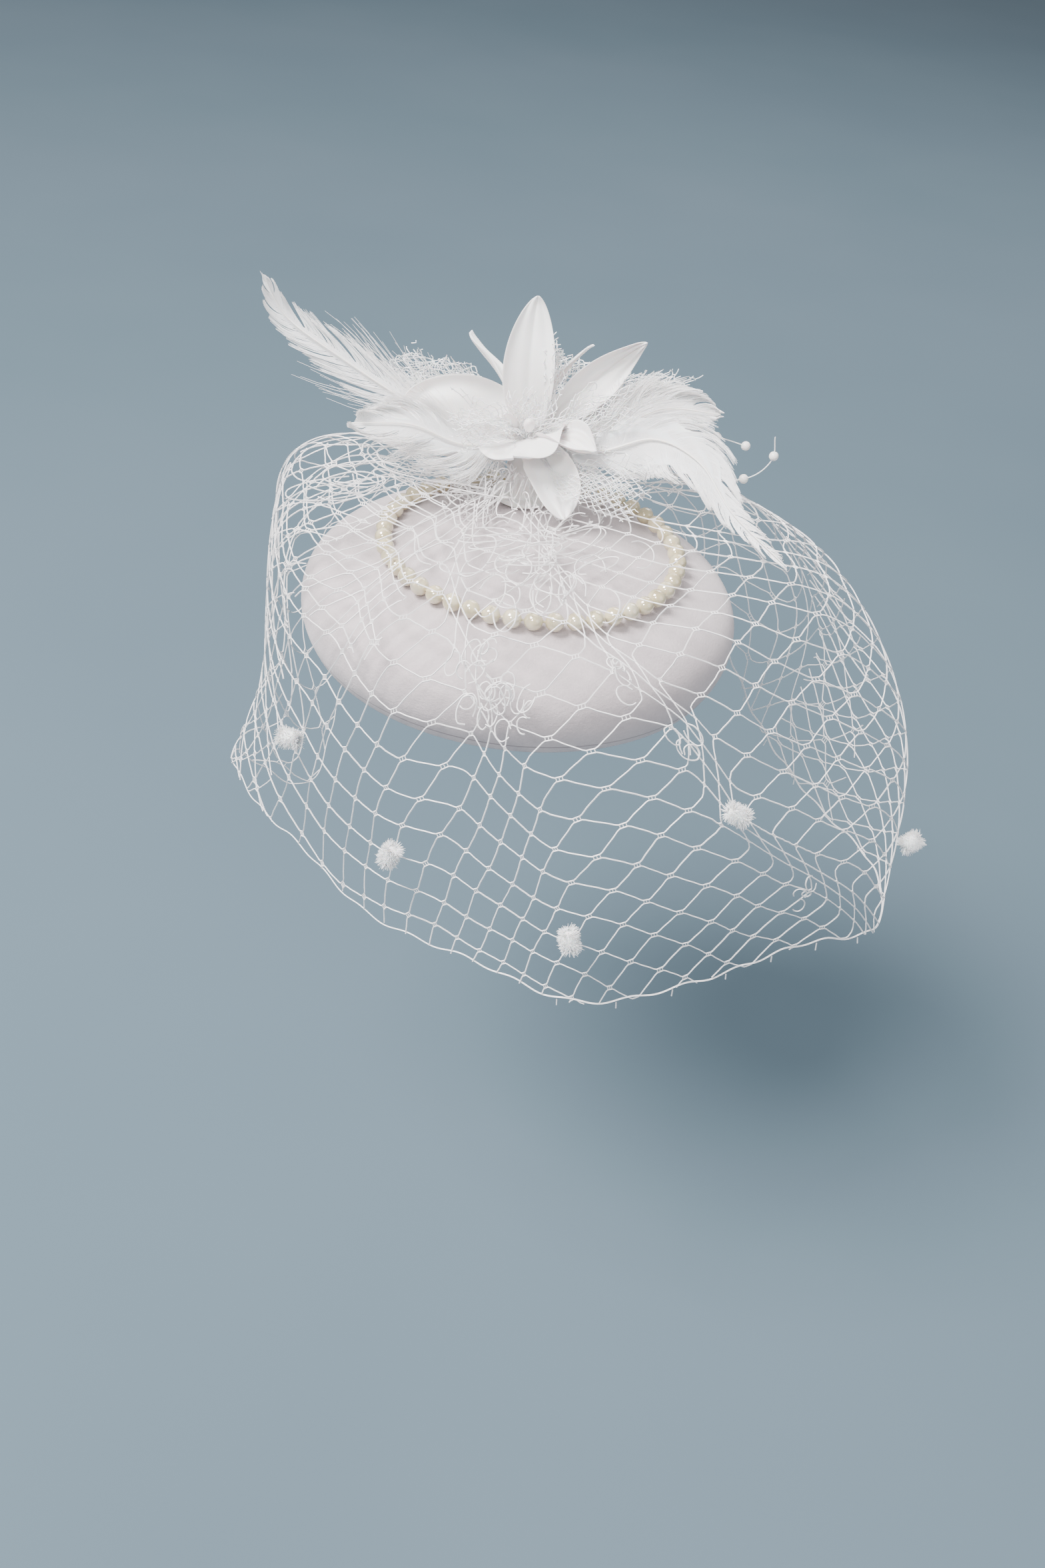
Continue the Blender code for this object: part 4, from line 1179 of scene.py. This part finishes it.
def add_tuft(name, row, nodes, material):
    """Layers of crinkled net that fan out, each of zigzag threads that meet, cut ragged at the edge."""
    leaf = Leaf(row, TUFT_WIDTH, tuft_width)
    fans, reach, crinkle, longer = leaf.looks
    up = leaf.frame(np.array([0.5]))[3]
    root = leaf.place(np.zeros(1), np.array([leaf.root]))[0]
    lines = []
    for layer, fan in enumerate(fans):
        turns = chance.uniform(0, 6.28, 6)
        ragged = chance.uniform(0.86, 1.10, 14) * reach
        turn = Matrix.Rotation(math.radians(fan), 3, Vector(up[0]))
        half = TUFT_CELL * longer / 2
        for line in range(int(leaf.length * (1.16 - leaf.root) / TUFT_STEP)):
            k = np.arange((int(leaf.width / half) + 2) * 3)
            x = k * half / 3 - leaf.width / 2
            zig = np.abs((k / 3 + (line % 2)) % 2 - 1) * 2 - 1
            zig = np.clip(zig * 1.5, -1, 1)
            out = leaf.root + (line + 0.5 + 0.5 * zig) * TUFT_STEP / leaf.length
            narrow = leaf.profile(np.clip(out, 0, 1))
            side = x / (leaf.width / 2)
            along = out * leaf.length
            ruffle = 0.0030 * np.sin(x / 0.0024 + turns[0] + 0.8 * np.sin(along / 0.005 + turns[4]))
            crush = 0.0016 * np.sin(along / 0.0026 + turns[1]) + 0.0010 * np.sin(x / 0.0012 + turns[2])
            lift = (layer % 3 - 1) * 0.0016 + crinkle * (ruffle + crush) * narrow
            slip = 0.05 * np.sin(x / 0.0031 + turns[3])
            slip += 0.03 * np.sin(along / 0.0019 + x / 0.0043 + turns[5])
            sway = 0.10 * crinkle * np.sin(along / 0.0034 + turns[2])
            spot = leaf.place(side * 0.9 + sway, out + crinkle * slip * narrow, lift)
            spot = spot + chance.normal(0, 0.00016 * crinkle, spot.shape)
            limit = np.interp((side + 1) / 2, np.linspace(0, 1, 14), ragged)
            spot[(out > limit) | (np.abs(side) > 1)] = np.nan
            spot = (spot - root) @ np.array(turn).T + root
            if name in TUFT_TOPS:
                reached = (spot - np.array(head_middle())) / SPREAD
                across, up_there = zip(*TUFT_TOPS[name])
                scallop = 0.010 * np.sin(reached[:, 0] * 150 + layer)
                scallop += 0.006 * np.sin(reached[:, 0] * 371 + 2 * layer)
                spot[reached[:, 2] > np.interp(reached[:, 0], across, up_there) + scallop] = np.nan
            lines += whole_runs(spot)
    net = strands(name + "_threads", lines, [TUFT_THREAD] * len(lines))
    finish_piece(net, nodes, material)


def add_dot(number, way, material):
    """A short roll of chenille: fibres all round a twisted core."""
    name = f"chenille_dot_{number}"
    lowest, highest = (np.array(corner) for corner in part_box(name))
    middle = (lowest + highest) / 2
    axis = unit(np.array(way, float))
    aside = unit(np.cross(axis, (0.3, 0.2, 1.0)))
    up = np.cross(axis, aside)
    body = ball(1.0, 24, 16)
    points = get_points(body)
    rough = 1 + chance.normal(0, 0.03, len(points))
    squarer = np.sign(points[:, 2]) * np.abs(points[:, 2]) ** 0.6
    local = (points[:, :1] * aside + points[:, 1:2] * up) * 0.0031 + squarer[:, None] * axis * 0.0034
    set_points(body, middle + local * rough[:, None])
    lines, radii = [], []
    for _ in range(DOT_FIBRES):
        turn = chance.uniform(0, 2 * math.pi)
        along = chance.uniform(-1, 1)
        start = middle + axis * along * 0.0030
        ray = aside * math.cos(turn) + up * math.sin(turn) + axis * (along * 0.45 + chance.normal(0, 0.22))
        ray = ray / np.linalg.norm(ray)
        long = 0.0042 * chance.uniform(0.86, 1.08)
        bent = chance.normal(0, 0.0003, 3)
        reached = start + ray * long
        lines.append(np.array([start + ray * 0.002, start + ray * long * 0.7 + bent * 0.4, reached + bent]))
        radii.append(np.array((0.00012, 0.00011, 0.00005)))
    fluff = strands(name + "_fluff", lines, radii)
    dot = join(name + "_fluff", [body, fluff])
    finish_piece(dot, [name], material)


def add_bead_spray(name, material):
    """A wire with beads on it, each held by a knot at either end."""
    path, beads = SPRAYS[name]
    points = spray_points(path)
    steps = np.linspace(0.06, 1, 80)
    wire = spline(points, steps)
    pieces = [strands(name + "_wire", [wire], [WIRE_RADIUS], 8)]
    length = sum(np.linalg.norm(b - a) for a, b in zip(points, points[1:]))
    for bead in beads:
        at = min(bead, 1.0 - SEED_RADIUS / length)
        spot = spline(points, np.array([at]))[0]
        pieces.append(ball(SEED_RADIUS, 24, 16, spot))
        for end in (-1, 1):
            knot = spline(points, np.array([min(at + end * (SEED_RADIUS + 0.0002) / length, 1)]))[0]
            bpy.ops.mesh.primitive_ico_sphere_add(subdivisions=2, radius=WIRE_KNOT)
            bpy.context.object.data.transform(Matrix.Translation(knot))
            pieces.append(bpy.context.object)
    piece = join(name + "_beads", pieces)
    finish_piece(piece, [name], material)


def add_stamen(name, material):
    """A small ridged bud on the spray's head."""
    way = Vector(STAMENS[name]).normalized()
    middle = Vector(head_middle()) + way * (HEAD_RADIUS + 0.0003 + STAMEN_LENGTH / 2)
    bud = ball(1.0, 24, 18)
    bud.name = name + "_bud"
    turn = Vector((0.0, 0.0, 1.0)).rotation_difference(way).to_matrix()
    for vertex in bud.data.vertices:
        x, y, z = vertex.co
        swell = 0.86 + 0.16 * z - 0.10 * z * z
        ridge = 1 + 0.03 * math.cos(5 * math.atan2(y, x)) * (1 - z * z)
        across = STAMEN_RADIUS * swell * ridge
        vertex.co = middle + turn @ Vector((x * across, y * across, z * STAMEN_LENGTH / 2))
    finish_piece(bud, [name], material)


def add_spray_base(material):
    """The felt disc, the stem bound in net and the round head, turned from their outline."""
    middle = CROWN_HEIGHT + HEAD_HEIGHT
    bottom = CROWN_HEIGHT + 0.0003
    outline = [(0.0, bottom), (0.0112, bottom), (0.0119, bottom + 0.0004), (0.0120, bottom + 0.001),
               (0.0117, bottom + 0.0017), (0.0105, bottom + 0.0020), (0.0080, bottom + 0.0021),
               (0.0076, bottom + 0.0030)]
    for i in range(9):
        outline.append((0.0073 + 0.0002 * (i % 2), bottom + 0.004 + i * 0.0013))
    for i in range(19):
        turn = math.radians(-52 + 142 * i / 18)
        outline.append((HEAD_RADIUS * 0.86 * math.cos(turn), middle + HEAD_RADIUS * 0.86 * math.sin(turn)))
    outline[-1] = (0.0, middle + HEAD_RADIUS * 0.86)
    base = turned("spray_base_felt", outline, STEM_X, STEM_Y, 48)
    finish_piece(base, ["spray_base"], material, FELT_ANGLE)


def add_spray():
    satin = cloth_material("petal_satin", (0.96, 0.93, 0.92), (0.92, 0.885, 0.875), 0.55, 900.0, 0.0001)
    down = cloth_material("white_feather", (0.96, 0.945, 0.935), (0.93, 0.91, 0.90), 0.7, 1500.0, 0.0001)
    glossy = cloth_material("crinkled_net", (0.97, 0.97, 0.97), (0.93, 0.93, 0.93), 0.22, 1500.0, 0.0001)
    fluff = cloth_material("chenille_fluff", (0.95, 0.94, 0.93), (0.90, 0.89, 0.88), 0.9, 1500.0, 0.0002)
    horn = cloth_material("feather_quill", (0.97, 0.95, 0.92), (0.90, 0.88, 0.84), 0.3, 300.0, 0.00005)
    base = cloth_material("base_felt", (0.88, 0.87, 0.85), (0.82, 0.81, 0.79), 0.95, 900.0, 0.0003)
    seed = cloth_material("white_bead", (0.93, 0.92, 0.90), (0.88, 0.87, 0.84), 0.2, 900.0, 0.00004)
    add_spray_base(base)
    for name in PETALS:
        add_petal(name, satin)
    for name in FEATHERS:
        add_feather(name, down, horn)
    for name, row in TUFTS.items():
        add_tuft(name, row, [name], glossy)
    for name, row in PATCHES.items():
        add_tuft(name, row, [], glossy)
    for name in SPRAYS:
        add_bead_spray(name, seed)
    for name in STAMENS:
        add_stamen(name, satin)
    for number, way in enumerate(DOT_WAYS, 1):
        add_dot(number, way, fluff)


def main():
    add_studio()
    add_crown()
    add_pearls()
    add_veil()
    add_spray()


main()
